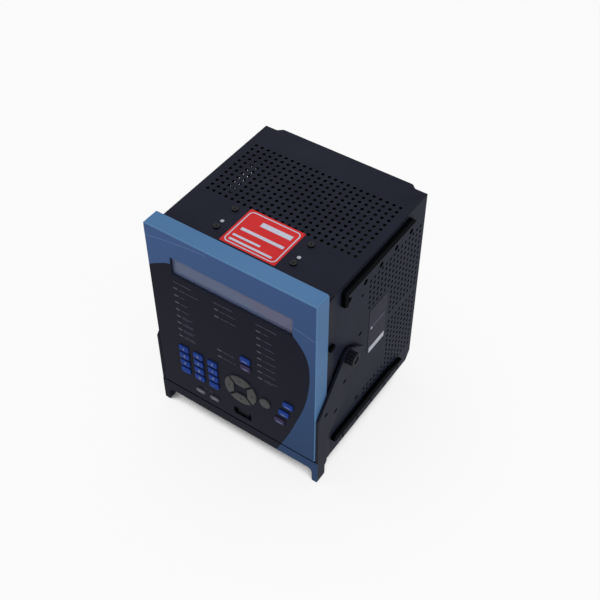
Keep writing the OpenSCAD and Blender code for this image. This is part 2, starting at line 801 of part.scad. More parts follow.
// A sheet folded up along its back edge.
module bottom_cover() color([0.13, 0.13, 0.15]) place() difference() {
    on_side(-side_face, chassis_w) polygon([[chassis_front, chassis_bottom],
        [chassis_back - fold_run, chassis_bottom], [chassis_back, chassis_bottom + fold_rise],
        [chassis_back, fold_top], [fold_start, chassis_bottom + sheet_t],
        [chassis_front, chassis_bottom + sheet_t]]);
    translate([0, 0, chassis_bottom - overrun]) linear_extrude(sheet_t + 2 * overrun) cover_vents();
}

function side_vent_y(c) = chassis_front + side_vent_front + c * side_vent_pitch_y;
function side_vent_z(r) = chassis_top - side_vent_top - r * side_vent_pitch_z;
function side_has_vent(c, r) = r < upper_rows ? true
    : r >= side_rows - foot_rows ? true
    : r == blank_row ? false
    : c >= label_cols;

module side_sheet() {
    difference() {
        polygon([[chassis_front, chassis_bottom + sheet_t], [fold_start, chassis_bottom + sheet_t],
            [chassis_back, fold_top], [chassis_back, chassis_top - sheet_t],
            [chassis_front, chassis_top - sheet_t]]);
        for (c = [0:side_cols - 1]) for (r = [0:side_rows - 1]) if (side_has_vent(c, r))
            translate([side_vent_y(c), side_vent_z(r)]) circle(vent_r);
        for (i = [0:side_slots - 1]) for (z = [side_vent_z(0) + side_slot_rise, chassis_bottom + side_slot_l])
            translate([chassis_front + side_slot_front + i * side_slot_pitch, z])
                rotate(90) slot(side_slot_l, side_slot_w);
        translate([side_vent_y(0) - 2 * side_vent_pitch_y, side_vent_z(1)]) circle(side_slot_w / 2);
        translate([side_vent_y(0) - 2 * side_vent_pitch_y, side_vent_z(side_rows / 3)])
            slot(side_slot_l, side_slot_w);
        translate([side_vent_y(0) - 2 * side_vent_pitch_y, side_vent_z(side_rows - foot_rows)])
            slot(side_slot_l, side_slot_w);
        translate([pivot_y, pivot_z]) circle(thread_r + pivot_gap);
    }
}

module left_side_panel() color([0.20, 0.20, 0.24]) place()
    left_side() on_side(side_inner, sheet_t) side_sheet();

module right_side_panel() color([0.20, 0.20, 0.24]) place()
    on_side(side_inner, sheet_t) side_sheet();

module block_places() {
    for (z = [block_low, block_high - block_h]) translate([0, z + block_h / 2]) children();
}

module rear_panel() color([0.13, 0.13, 0.15]) place()
    on_face(chassis_back - sheet_t, sheet_t) difference() {
        translate([-side_inner, fold_top]) square([2 * side_inner, chassis_top - sheet_t - fold_top]);
        block_places() square([block_w + 2 * block_gap, block_h + 2 * block_gap], center = true);
    }

module blade_places() {
    for (c = [0:blade_cols - 1]) for (r = [0:blade_rows - 1])
        translate([(c - (blade_cols - 1) / 2) * blade_pitch_x, (r - (blade_rows - 1) / 2) * blade_pitch_z])
            children();
}

module contact_blocks() color([0.09, 0.09, 0.10]) place()
    on_face(board_back, cover_back - board_back)
        block_places() difference() {
            square([block_w, block_h], center = true);
            blade_places() square([blade_t + 2 * blade_gap, blade_w + 2 * blade_gap], center = true);
        }

module contact_blades() color([0.75, 0.62, 0.30]) place()
    on_face(board_back, blade_tip - board_back)
        block_places() blade_places() square([blade_t, blade_w], center = true);

module upper_rail() {
    top = chassis_top - upper_rail_drop;
    low = top - upper_rail_h;
    front = chassis_front + upper_rail_front;
    on_side(side_face, upper_rail_proud)
        polygon([[front, top], [front + upper_rail_len - upper_rail_nose, top],
            [front + upper_rail_len, low], [front + rail_tab_w, low],
            [front + rail_tab_w, low - rail_tab_h], [front, low - rail_tab_h + rail_tab_w / 2]]);
}

module lower_rail() {
    low = chassis_bottom + lower_rail_rise;
    top = low + lower_rail_h;
    front = chassis_front + lower_rail_front;
    back = front + lower_rail_len;
    round_end = lower_rail_h / 2;
    on_side(side_face, lower_rail_proud)
        union() {
            polygon([[front + round_end, low], [back, low], [back, low + lower_rail_tip],
                [back - lower_rail_nose, top], [front + round_end, top]]);
            translate([front + round_end, low + round_end]) circle(round_end);
        }
}

module left_upper_rail() color([0.07, 0.07, 0.08]) place() left_side() upper_rail();
module right_upper_rail() color([0.07, 0.07, 0.08]) place() upper_rail();
module left_lower_rail() color([0.07, 0.07, 0.08]) place() left_side() lower_rail();
module right_lower_rail() color([0.07, 0.07, 0.08]) place() lower_rail();

module stop_block() {
    on_side(side_face, stop_proud)
        translate([chassis_front, pivot_z + stop_rise]) square([stop_d, stop_h]);
}

module left_stop_block() color([0.10, 0.10, 0.11]) place() left_side() stop_block();
module right_stop_block() color([0.10, 0.10, 0.11]) place() stop_block();

module pivot_knob() {
    translate([0, pivot_y, pivot_z]) rotate([0, 90, 0]) union() {
        translate([0, 0, side_inner - thread_l]) cylinder(r = thread_r, h = side_face - side_inner + thread_l);
        translate([0, 0, side_face]) cylinder(r = shoulder_r, h = arm_out + knob_gap - side_face);
        translate([0, 0, arm_out + knob_gap]) difference() {
            union() {
                cylinder(r = knob_r, h = knob_l - knob_edge);
                translate([0, 0, knob_l - knob_edge]) cylinder(r1 = knob_r, r2 = knob_r - knob_edge, h = knob_edge);
            }
            for (i = [0:knob_flutes - 1]) rotate(360 * i / knob_flutes)
                translate([knob_r + knob_flute_r / 3, 0, -overrun]) cylinder(r = knob_flute_r, h = knob_l + 2 * overrun);
            translate([0, 0, knob_l - knob_edge]) cylinder(r = shoulder_r, h = knob_edge + overrun);
        }
    }
}

module left_pivot_knob() color([0.09, 0.09, 0.10]) place() left_side() pivot_knob();
module right_pivot_knob() color([0.09, 0.09, 0.10]) place() pivot_knob();

function along(t, side) = [pivot_y + t * cos(arm_angle) + side * sin(arm_angle),
    pivot_z + t * sin(arm_angle) - side * cos(arm_angle)];
function along_at(y, side) = (y - pivot_y - side * sin(arm_angle)) / cos(arm_angle);

arm_back = arm_w - arm_end_r;
knee_z = along(along_at(handle_front, -arm_end_r), -arm_end_r)[1];
heel_z = along(along_at(heel_y, arm_back), arm_back)[1];
arm_len = pivot_z - bar_bottom;

module arm_outline() {
    corner = along(arm_end_r - arm_corner_r, arm_back - arm_corner_r);
    difference() {
        polygon(concat(
            [[handle_front, bar_top], [handle_front, knee_z]],
            arc(pivot_y, pivot_z, arm_end_r, arm_angle + 90, arm_angle),
            arc(corner[0], corner[1], arm_corner_r, arm_angle, arm_angle - 90),
            [[heel_y, heel_z], [heel_y, bar_bottom], [handle_front + foot_d, heel_low],
                [handle_front, heel_low]]));
        translate([pivot_y, pivot_z]) circle(shoulder_r + pivot_gap);
        for (i = [0:arm_slots - 1]) {
            p = along(-arm_slot_shares[i][0] * arm_len, arm_slot_shares[i][1] * arm_w - arm_end_r);
            translate(p) slot(arm_slot_l, arm_slot_w);
        }
    }
}

// The front of the bar and feet, seen from the front.
module bar_front() {
    foot_in = arm_out - foot_w;
    union() {
        translate([-arm_out, bar_bottom]) square([2 * arm_out, bar_top - bar_bottom]);
        for (s = [-1, 1]) {
            translate([s * (arm_out - foot_w / 2), (bar_top - foot_drop + foot_w / 2) / 2])
                square([foot_w, bar_top + foot_drop - foot_w / 2], center = true);
            translate([s * (arm_out - foot_w / 2), -foot_drop + foot_w / 2]) circle(foot_w / 2);
            difference() {
                translate([s * (foot_in - foot_fillet_r / 2), bar_bottom - foot_fillet_r / 2])
                    square([foot_fillet_r, foot_fillet_r], center = true);
                translate([s * (foot_in - foot_fillet_r), bar_bottom - foot_fillet_r]) circle(foot_fillet_r);
            }
        }
    }
}

// The bar and feet, seen from the side, curved on top to clear the bezel as the handle turns.
module bar_side() {
    difference() {
        polygon([[handle_front, overrun], [handle_front + bar_d, overrun],
            [handle_front + bar_d, bar_bottom], [handle_front + foot_d, heel_low],
            [handle_front + foot_d, -foot_drop + foot_rise],
            [handle_front + foot_w / 2, -foot_drop], [handle_front, -foot_drop + foot_w / 4]]);
        translate([pivot_y, pivot_z]) circle(bar_reach, $fn = 200);
    }
}

module handle() color([0.12, 0.12, 0.13]) place() {
    pocket_w = (2 * arm_in - (pocket_count + 1) * rib_t) / pocket_count;
    pocket_low = bar_bottom + bar_wall;
    pocket_h = pivot_z - sqrt(pow(bar_reach, 2) - pow(pivot_y - handle_front - bar_d, 2))
        - bar_wall - pocket_low;
    union() {
        difference() {
            intersection() {
                on_face(handle_front, heel_d) bar_front();
                on_side(-arm_out, 2 * arm_out) bar_side();
            }
            for (i = [0:pocket_count - 1])
                translate([-arm_in + rib_t + i * (pocket_w + rib_t), handle_front + bar_wall, pocket_low])
                    cube([pocket_w, bar_d, pocket_h]);
        }
        both_sides() union() {
            on_side(arm_in, arm_t) arm_outline();
            difference() {
                on_side(arm_boss_in, arm_in - arm_boss_in)
                    translate([pivot_y, pivot_z]) circle(arm_end_r - arm_gap);
                on_side(arm_boss_in - overrun, arm_t)
                    translate([pivot_y, pivot_z]) circle(shoulder_r + pivot_gap);
            }
        }
    }
}

module handle_fascia() color([0.13, 0.14, 0.17]) place()
    on_face(handle_front - fascia_t, fascia_t) difference() {
        bar_front();
        for (s = [-1, 1]) translate([s * arm_out, -foot_drop])
            square([2 * foot_w, foot_w / 2], center = true);
    }

module top_label() color([0.80, 0.15, 0.15]) place()
    translate([0, chassis_front + top_label_front + top_label_l / 2, chassis_top])
        linear_extrude(label_t) rounded(top_label_w, top_label_l, rivet_r);

module side_label() color([0.22, 0.20, 0.27]) place()
    on_side(side_face, label_t)
        translate([side_vent_y(0) + side_vent_pitch_y / 4 + side_label_l / 2,
            side_vent_z(upper_rows) - side_label_h / 2]) rounded(side_label_l, side_label_h, rivet_r);

module cover_screws() color([0.30, 0.30, 0.32]) place()
    translate([0, 0, chassis_top]) screw_places() difference() {
        union() {
            cylinder(r = screw_head_r, h = screw_head_h);
            translate([0, 0, -screw_l]) cylinder(r = screw_r, h = screw_l + screw_head_h / 2);
        }
        translate([0, 0, screw_head_h / 2]) cylinder(r = screw_recess_w / 2, h = screw_head_h, $fn = 6);
    }

module cover_rivets() color([0.85, 0.85, 0.86]) place()
    translate([0, 0, chassis_top]) rivet_places() union() {
        cylinder(r = rivet_head_r, h = rivet_head_h);
        translate([0, 0, -sheet_t]) cylinder(r = rivet_r, h = sheet_t + rivet_head_h / 2);
    }

bracket_top = chassis_top - sheet_t;
bracket_half = screw_span / 2 + bracket_edge;

module cover_bracket() color([0.62, 0.63, 0.64]) place()
    translate([0, chassis_front + screw_front + screw_pitch / 2, 0]) difference() {
        translate([-bracket_half, -screw_pitch / 2 - bracket_edge, bracket_top - bracket_leg_h])
            cube([2 * bracket_half, screw_pitch + 2 * bracket_edge, bracket_leg_h]);
        translate([-bracket_half + bracket_t, -screw_pitch / 2 - bracket_edge - overrun,
            bracket_top - bracket_leg_h - overrun])
            cube([2 * (bracket_half - bracket_t), screw_pitch + 2 * (bracket_edge + overrun),
                bracket_leg_h + overrun - bracket_t]);
        for (s = [-1, 1]) for (i = [-1, 1])
            translate([s * screw_span / 2, i * screw_pitch / 2, bracket_top - bracket_t - overrun])
                cylinder(r = screw_r + blade_gap, h = bracket_t + 2 * overrun);
    }

board_low = chassis_bottom + sheet_t;
board_high = bracket_top - bracket_t - board_gap;

module upright_board(x) {
    on_side(x - board_t / 2, board_t)
        translate([chassis_front, board_low]) square([board_back - chassis_front, board_high - board_low]);
}

module processor_board() color([0.10, 0.32, 0.16]) place() upright_board(-board_x);
module io_board() color([0.10, 0.32, 0.16]) place() upright_board(0);
module power_board() color([0.10, 0.32, 0.16]) place() upright_board(board_x);

module ring_transformers() color([0.55, 0.40, 0.16]) place()
    for (s = [-1, 1]) for (i = [0:ring_rows - 1])
        translate([s * board_x / 2, chassis_front + ring_front + i * ring_pitch, board_low]) difference() {
            cylinder(r = ring_r, h = ring_h);
            translate([0, 0, -overrun]) cylinder(r = ring_hole_r, h = ring_h + 2 * overrun);
        }

module output_relays() color([0.09, 0.09, 0.10]) place()
    for (i = [0:relay_rows - 1])
        translate([board_t / 2, chassis_front + relay_front, chassis_bottom + relay_rise + i * relay_pitch])
            cube([relay_d, relay_l, relay_h]);

bezel();
face_overlay();
display_window();
display_module();
lamp_lenses();
port_connector();
key_board();
front_subpanel();
top_cover();
bottom_cover();
left_side_panel();
right_side_panel();
rear_panel();
left_upper_rail();
right_upper_rail();
left_lower_rail();
right_lower_rail();
left_stop_block();
right_stop_block();
left_pivot_knob();
right_pivot_knob();
cover_screws();
cover_rivets();
cover_bracket();
top_label();
side_label();
processor_board();
io_board();
power_board();
ring_transformers();
output_relays();
contact_blocks();
contact_blades();
handle();
handle_fascia();
key_one();
key_two();
key_three();
key_four();
key_five();
key_six();
key_seven();
key_eight();
key_nine();
key_left_blank();
key_zero();
key_dot();
key_help();
key_message();
key_up();
key_left();
key_down();
key_right();
key_round();
key_reset();
key_next();
key_setpoint();
key_actual();
key_store();
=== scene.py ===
"""Looks of a draw-out protection relay: printed face, rubber keys, perforated black chassis and swinging handle."""

import logging
import math
from dataclasses import dataclass, field, replace
from enum import Enum

import bmesh
import bpy
from mathutils import Matrix, Vector


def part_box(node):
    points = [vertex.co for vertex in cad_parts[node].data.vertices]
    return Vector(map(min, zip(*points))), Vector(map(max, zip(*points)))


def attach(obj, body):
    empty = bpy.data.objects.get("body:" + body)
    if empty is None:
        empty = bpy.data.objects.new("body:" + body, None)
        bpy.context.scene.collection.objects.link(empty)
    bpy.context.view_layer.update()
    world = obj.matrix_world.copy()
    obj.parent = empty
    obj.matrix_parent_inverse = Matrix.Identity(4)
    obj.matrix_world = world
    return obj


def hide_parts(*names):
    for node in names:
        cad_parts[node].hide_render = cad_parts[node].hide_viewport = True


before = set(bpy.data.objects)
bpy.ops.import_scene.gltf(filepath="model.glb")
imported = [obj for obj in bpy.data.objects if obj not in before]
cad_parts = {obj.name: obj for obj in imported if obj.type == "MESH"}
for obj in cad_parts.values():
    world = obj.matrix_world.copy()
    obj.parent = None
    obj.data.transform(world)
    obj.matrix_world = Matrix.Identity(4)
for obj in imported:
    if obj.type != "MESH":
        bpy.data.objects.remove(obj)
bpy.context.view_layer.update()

MM = 0.001
CHASSIS = "chassis"
HANDLE = "handle"
# Blender's default, which metals keep.
METAL_SPECULAR = 0.5
WHITE = "FFFFFF"
# Colour of the painted shade deep in a gap.
RECESS_SHADE = "050507"
ACRYLIC_IOR = 1.49
# Faces that meet at more than this show an edge.
SHARP_DEGREES = 35
# Corners closer than this are one corner.
WELD_MM = 0.002

Tree = bpy.types.NodeTree
Socket = bpy.types.NodeSocket
Mesh = bmesh.types.BMesh
# Two places and two sizes of each bar.
Bars = tuple[tuple[float, float, float, float], ...]

log = logging.getLogger("relay")


def linear(code: str) -> tuple[float, float, float, float]:
    """Turns a colour of six sRGB hex digits to linear red, green, blue and an alpha of one."""
    parts = [int(code[i:i + 2], 16) / 255 for i in (0, 2, 4)]
    return (*(c / 12.92 if c <= 0.04045 else ((c + 0.055) / 1.055) ** 2.4 for c in parts), 1.0)


def add(tree: Tree, kind: str, feeds: dict | None = None, **settings: object) -> bpy.types.Node:
    """Adds one node with its settings and feeds its inputs.

    Args:
        tree: Node tree that takes the node.
        kind: Blender's name for the node's type.
        feeds: Input name or number, and the value or the output socket that feeds it.
        **settings: Properties of the node.

    Returns:
        The new node.
    """
    node = tree.nodes.new(kind)
    for name, value in settings.items():
        setattr(node, name, value)
    for key, value in (feeds or {}).items():
        if isinstance(value, Socket):
            tree.links.new(value, node.inputs[key])
        else:
            node.inputs[key].default_value = value
    return node


def math_node(tree: Tree, operation: str, *values: Socket | float) -> Socket:
    """Adds a Math node whose inputs take the values in their order."""
    return add(tree, "ShaderNodeMath", dict(enumerate(values)), operation=operation).outputs[0]


def vector_node(tree: Tree, operation: str, *values: Socket | tuple | Vector) -> Socket:
    """Adds a Vector Math node: a dot product gives a value, and the others give a vector."""
    outputs = add(tree, "ShaderNodeVectorMath", dict(enumerate(values)), operation=operation).outputs
    return outputs["Value" if operation == "DOT_PRODUCT" else "Vector"]


def spread(tree: Tree, value: Socket, start: float = 0.0, end: float = 1.0, low: float = 0.0,
           high: float = 1.0) -> Socket:
    """Adds a Map Range node that turns start to low and end to high."""
    return add(tree, "ShaderNodeMapRange", {"Value": value, "From Min": start, "From Max": end, "To Min": low,
                                            "To Max": high}).outputs[0]


def blend(tree: Tree, share: Socket, first: Socket | str, second: Socket | str) -> Socket:
    """Mixes two colours, each a socket or six hex digits, by the share of the second."""
    ends = [linear(colour) if isinstance(colour, str) else colour for colour in (first, second)]
    return add(tree, "ShaderNodeMix", {0: share, 6: ends[0], 7: ends[1]}, data_type="RGBA").outputs[2]


def noise(tree: Tree, coords: Socket, size_mm: float, detail: float = 2.0) -> Socket:
    """Adds a noise whose features are size_mm across."""
    return add(tree, "ShaderNodeTexNoise",
               {"Vector": coords, "Scale": 1 / (size_mm * MM), "Detail": detail}).outputs[0]


def bump(tree: Tree, height: Socket, depth_mm: float, normal: Socket | None = None) -> Socket:
    """Adds a bump depth_mm deep, on top of a normal where one is given."""
    feeds = {"Height": height, "Distance": depth_mm * MM}
    return add(tree, "ShaderNodeBump", feeds | ({"Normal": normal} if normal else {})).outputs[0]


def seen_rays(tree: Tree) -> Socket:
    """Marks the rays that show the backdrop to the eye, straight, mirrored or through glass.

    Args:
        tree: Node tree that takes the nodes.

    Returns:
        One for such a ray and zero for any other.
    """
    rays = add(tree, "ShaderNodeLightPath").outputs
    mirrored = math_node(tree, "MAXIMUM", rays["Is Camera Ray"], rays["Is Glossy Ray"])
    return math_node(tree, "MAXIMUM", mirrored, rays["Is Transmission Ray"])


@dataclass(frozen=True)
class Finish:
    """A surface finish that becomes one material."""

    name: str

    def surface(self, tree: Tree) -> Socket:
        """Builds the finish's nodes and gives the shader that covers the surface."""
        raise NotImplementedError

    def material(self) -> bpy.types.Material:
        """Gives the material, made on its first use.

        Returns:
            The material of this finish.
        """
        made = bpy.data.materials.get(self.name)
        if made is None:
            made = bpy.data.materials.new(self.name)
            made.use_nodes = True
            made.node_tree.nodes.clear()
            add(made.node_tree, "ShaderNodeOutputMaterial", {"Surface": self.surface(made.node_tree)})
        return made


@dataclass(frozen=True)
class Solid(Finish):
    """A moulded, painted or plated surface with grain, slow ripple and mottled colour. Its edges take an edge colour
    that is partly rubbed wear and partly painted light, and its recesses take painted shade.
    """

    colour: str
    tint: str
    edge: str
    roughness: float = 0.5
    rough_span: float = 0.12
    metallic: float = 0.0
    grain_mm: float = 0.6
    grain_depth_mm: float = 0.02
    ripple_mm: float = 9.0
    ripple_depth_mm: float = 0.03
    mottle_mm: float = 40.0
    edge_mm: float = 0.6
    edge_wear_and_painted_light: float = 0.5
    specular: float = 0.12
    # Reach and strength of the painted shade in recesses.
    shade_reach_mm: float = 4.0
    shade_strength: float = 0.85
    stretch: tuple[float, float, float] = (1.0, 1.0, 1.0)

    def hue(self, tree: Tree, coords: Socket) -> Socket:
        """Mixes the finish's two body colours, before the edge colour of wear and painted light goes on."""
        broad = noise(tree, coords, self.mottle_mm, detail=3.0)
        return blend(tree, spread(tree, broad, start=0.3, end=0.7), self.colour, self.tint)

    def surface(self, tree: Tree) -> Socket:
        """Builds the finish's nodes.

        Args:
            tree: Empty node tree of the material.

        Returns:
            The shader that covers the surface.
        """
        coords = add(tree, "ShaderNodeTexCoord").outputs["Object"]
        grained = add(tree, "ShaderNodeMapping", {"Vector": coords, "Scale": self.stretch}).outputs[0]
        grain = noise(tree, grained, self.grain_mm)
        ripple = noise(tree, coords, self.ripple_mm, detail=1.0)
        # The edges take the edge colour. It is partly rubbed wear and partly painted light: a painted highlight where
        # the edge colour is paler, and painted shade where it is darker.
        rounded = add(tree, "ShaderNodeBevel", {"Radius": self.edge_mm * MM}, samples=4).outputs[0]
        flat = add(tree, "ShaderNodeNewGeometry").outputs["True Normal"]
        turn = vector_node(tree, "DOT_PRODUCT", rounded, flat)
        edge = spread(tree, turn, start=0.985, end=0.75, high=self.edge_wear_and_painted_light)
        rubbed = math_node(tree, "MULTIPLY", edge, ripple)
        worn_with_painted_light = blend(tree, rubbed, self.hue(tree, coords), self.edge)
        # Painted shade: in slots, vents and narrow gaps, found by ambient occlusion, the colour falls to near black.
        nearby = add(tree, "ShaderNodeAmbientOcclusion", {"Distance": self.shade_reach_mm * MM}, samples=6)
        painted_shade = spread(tree, nearby.outputs["AO"], start=0.85, end=0.4, high=self.shade_strength)
        rough = spread(tree, grain, low=self.roughness - self.rough_span, high=self.roughness + self.rough_span)
        waves = bump(tree, ripple, self.ripple_depth_mm, rounded)
        return add(tree, "ShaderNodeBsdfPrincipled", {
            "Base Color": blend(tree, painted_shade, worn_with_painted_light, RECESS_SHADE), "Roughness": rough, "Metallic": self.metallic,
            "Normal": bump(tree, grain, self.grain_depth_mm, waves),
            "Specular IOR Level": METAL_SPECULAR if self.metallic else self.specular}).outputs[0]


@dataclass(frozen=True)
class Cracked(Solid):
    """A solid finish whose colour also follows a cell pattern, such as tracks on a board or turns of tape."""

    cell: str = "2F7A45"
    cell_mm: float = 6.0
    cell_share: float = 0.12

    def hue(self, tree: Tree, coords: Socket) -> Socket:
        """Draws the cells' borders over the body colour.

        Args:
            tree: Node tree of the material.
            coords: Object coordinates.

        Returns:
            The body colour, before its edges are rubbed.
        """
        cells = add(tree, "ShaderNodeTexVoronoi", {"Vector": coords, "Scale": 1 / (self.cell_mm * MM)},
                    feature="DISTANCE_TO_EDGE").outputs[0]
        line = spread(tree, cells, start=self.cell_share, end=self.cell_share * 0.6)
        return blend(tree, line, super().hue(tree, coords), self.cell)


@dataclass(frozen=True)
class Sheet(Solid):
    """Coated sheet metal whose faces along its thickness, the walls of its holes and its cut edges, are painted near
    black as shade.
    """

    across: tuple[float, float, float] = (1.0, 0.0, 0.0)
    cut: str = "060709"

    def hue(self, tree: Tree, coords: Socket) -> Socket:
        """Paints the faces that lie along the sheet's thickness near black, as shade.

        Args:
            tree: Node tree of the material.
            coords: Object coordinates.

        Returns:
            The body colour, before its edges are rubbed.
        """
        flat = add(tree, "ShaderNodeNewGeometry").outputs["True Normal"]
        square = math_node(tree, "ABSOLUTE", vector_node(tree, "DOT_PRODUCT", flat, self.across))
        # Painted shade: the walls of holes and the cut edges take the near-black cut colour.
        edge = math_node(tree, "LESS_THAN", square, 0.4)
        return blend(tree, edge, super().hue(tree, coords), self.cut)


@dataclass(frozen=True)
class Rimmed(Solid):
    """A painted moulding: the walls inside its rim are bare, those of its window's opening grey, and its rounded
    edges carry a painted highlight.
    """

    middle: Vector = Vector((0.0, 0.0, 0.0))
    half: tuple[float, float] = (0.1, 0.1)
    bare: str = "101117"
    reveal: str = "2A2C3B"
    reveal_share: float = 0.45
    highlight_strength: float = 0.4

    def hue(self, tree: Tree, coords: Socket) -> Socket:
        """Leaves the moulding bare inside its rim.

        Args:
            tree: Node tree of the material.
            coords: Object coordinates.

        Returns:
            The body colour, before its edges are rubbed.
        """
        placed = vector_node(tree, "SUBTRACT", coords, self.middle)
        sized = vector_node(tree, "MULTIPLY", placed, (1 / self.half[0], 0.0, 1 / self.half[1]))
        shares = add(tree, "ShaderNodeSeparateXYZ", {0: vector_node(tree, "ABSOLUTE", sized)}).outputs
        inside = math_node(tree, "LESS_THAN", math_node(tree, "MAXIMUM", shares["X"], shares["Z"]), 1.0)
        # The window's opening, near the top, is edged in the field's own grey, so the pane looks almost flush.
        height = add(tree, "ShaderNodeSeparateXYZ", {0: sized}).outputs["Z"]
        plain = blend(tree, math_node(tree, "GREATER_THAN", height, self.reveal_share), self.bare, self.reveal)
        # A rounded edge faces no axis squarely, and a thin pale line is painted there as a highlight.
        facing = vector_node(tree, "ABSOLUTE", add(tree, "ShaderNodeNewGeometry").outputs["Normal"])
        axes = add(tree, "ShaderNodeSeparateXYZ", {0: facing}).outputs
        flattest = math_node(tree, "MAXIMUM", math_node(tree, "MAXIMUM", axes["X"], axes["Y"]), axes["Z"])
        painted_highlight = spread(tree, flattest, start=0.9, end=0.74, high=self.highlight_strength)
        return blend(tree, inside, blend(tree, painted_highlight, super().hue(tree, coords), self.edge), plain)


@dataclass(frozen=True)
class Trace:
    """A curve over a span of one axis, as places in millimetres on the bezel's front."""

    points: tuple[tuple[float, float], ...]
    start: float
    end: float
    low: float
    high: float

    def node(self, tree: Tree, value: Socket) -> Socket:
        """Reads the curve at a value.

        Args:
            tree: Node tree of the material.
            value: Place along the axis, in millimetres.

        Returns:
            The curve's height there, in millimetres.
        """
        curve = add(tree, "ShaderNodeFloatCurve", {"Value": spread(tree, value, self.start, self.end)})
        line = curve.mapping.curves[0]
        spots = [((a - self.start) / (self.end - self.start), (b - self.low) / (self.high - self.low))
                 for a, b in self.points]
        line.points[0].location = spots[0]
        line.points[1].location = spots[-1]
        for spot in spots[1:-1]:
            line.points.new(*spot)
        curve.mapping.update()
        return spread(tree, curve.outputs[0], low=self.low, high=self.high)


@dataclass(frozen=True)
class PrintedFilm(Finish):
    """Polyester film printed on its back: a black field that ends in curves, blue around it and fine pale lines."""

    bottom: float
    black: str = "0F1120"
    black_tint: str = "161829"
    blue: str = "304A70"
    blue_painted_light: str = "466292"
    line: str = "7C95BC"
    line_mm: float = 0.3
    # The pale line is left out over a span about this place, and fades in between these distances from it.
    bare_middle: float = 26.0
    bare_reach: tuple[float, float] = (50.0, 54.0)
    # Slant and length of the painted light across the blue.
    slant: tuple[float, float, float] = (-0.5, 0.0, 1.0)
    painted_light_ends: tuple[float, float] = (-30.0, 280.0)
    specular: float = 0.035
    right: Trace = Trace(((-40, 46), (-15.5, 55.3), (0, 61.9), (27, 72.7), (54.4, 82), (92, 93.4), (121.1, 98.1),
                          (142.7, 99.4), (163.3, 97.4), (176.2, 92.8), (185.9, 86.3), (194, 79.1), (200, 72),
                          (255, 0)), -40, 255, -107, 107)
    top: Trace = Trace(((-107, 190.6), (-104.6, 192.3), (-92, 200.2), (-77.1, 207.6), (-50, 213), (0, 214),
                        (60, 212), (107, 210)), -107, 107, 150, 255)
    crest: Trace = Trace(((-107, 233.2), (-103, 234.4), (-69.4, 240.7), (-26.7, 245.4), (20, 236), (78.1, 207.7),
                          (93.5, 204), (107, 200.8)), -107, 107, 150, 255)

    def surface(self, tree: Tree) -> Socket:
        """Builds the finish's nodes.

        Args:
            tree: Empty node tree of the material.

        Returns:
            The shader that covers the surface.
        """
        coords = add(tree, "ShaderNodeTexCoord").outputs["Object"]
        place = add(tree, "ShaderNodeMapping", {"Vector": coords, "Location": (0, 0, -self.bottom / MM),
                                                "Scale": (1 / MM, 1 / MM, 1 / MM)}).outputs[0]
        split = add(tree, "ShaderNodeSeparateXYZ", {0: place})
        x, z = split.outputs["X"], split.outputs["Z"]
        over_right = math_node(tree, "SUBTRACT", x, self.right.node(tree, z))
        over_top = math_node(tree, "SUBTRACT", z, self.top.node(tree, x))
        blue = spread(tree, math_node(tree, "MAXIMUM", over_right, over_top), start=-0.15, end=0.15)
        near = math_node(tree, "ABSOLUTE", math_node(tree, "SUBTRACT", z, self.crest.node(tree, x)))
        line = spread(tree, near, start=self.line_mm, end=0.1)
        far = math_node(tree, "ABSOLUTE", math_node(tree, "SUBTRACT", x, self.bare_middle))
        drawn = math_node(tree, "MULTIPLY", line, spread(tree, far, *self.bare_reach))
        broad = noise(tree, coords, 70)
        # The blue is painted palest at the upper left: painted light.
        painted_light_share = spread(tree, vector_node(tree, "DOT_PRODUCT", place, self.slant), *self.painted_light_ends)
        inked = blend(tree, blue, blend(tree, broad, self.black, self.black_tint),
                      blend(tree, painted_light_share, self.blue, self.blue_painted_light))
        # The film's fine texture is 0.25 mm across and is drawn at 0.5 mm, because it is too fine to show.
        grain = noise(tree, coords, 0.5, detail=1.0)
        return add(tree, "ShaderNodeBsdfPrincipled", {
            "Base Color": blend(tree, drawn, inked, self.line), "Roughness": spread(tree, broad, low=0.34, high=0.46),
            "Normal": bump(tree, grain, 0.008), "Specular IOR Level": self.specular}).outputs[0]


@dataclass(frozen=True)
class ClearAcrylic(Finish):
    """Clear acrylic sheet, cast: a thin grey-violet veil with a clean reflection, broad bluer patches of painted
    reflection and faint wipe marks.
    """

    colour: str = "77799C"
    tint: str = "6C7EA4"
    veil: float = 0.62

    def surface(self, tree: Tree) -> Socket:
        """Builds the finish's nodes.

        Args:
            tree: Empty node tree of the material.

        Returns:
            The shader that covers the surface.
        """
        coords = add(tree, "ShaderNodeTexCoord").outputs["Object"]
        wipes = add(tree, "ShaderNodeMapping", {"Vector": coords, "Scale": (0.25, 1, 1)}).outputs[0]
        marks = noise(tree, wipes, 8, detail=4.0)
        # Broad random patches take the bluer tint: a painted reflection.
        share = spread(tree, noise(tree, wipes, 28, detail=0.0), start=0.4, end=0.6)
        return add(tree, "ShaderNodeBsdfPrincipled", {
            "Base Color": blend(tree, share, self.colour, self.tint), "IOR": ACRYLIC_IOR,
            "Roughness": spread(tree, marks, low=0.03, high=0.16), "Specular IOR Level": 0.3,
            "Alpha": self.veil}).outputs[0]


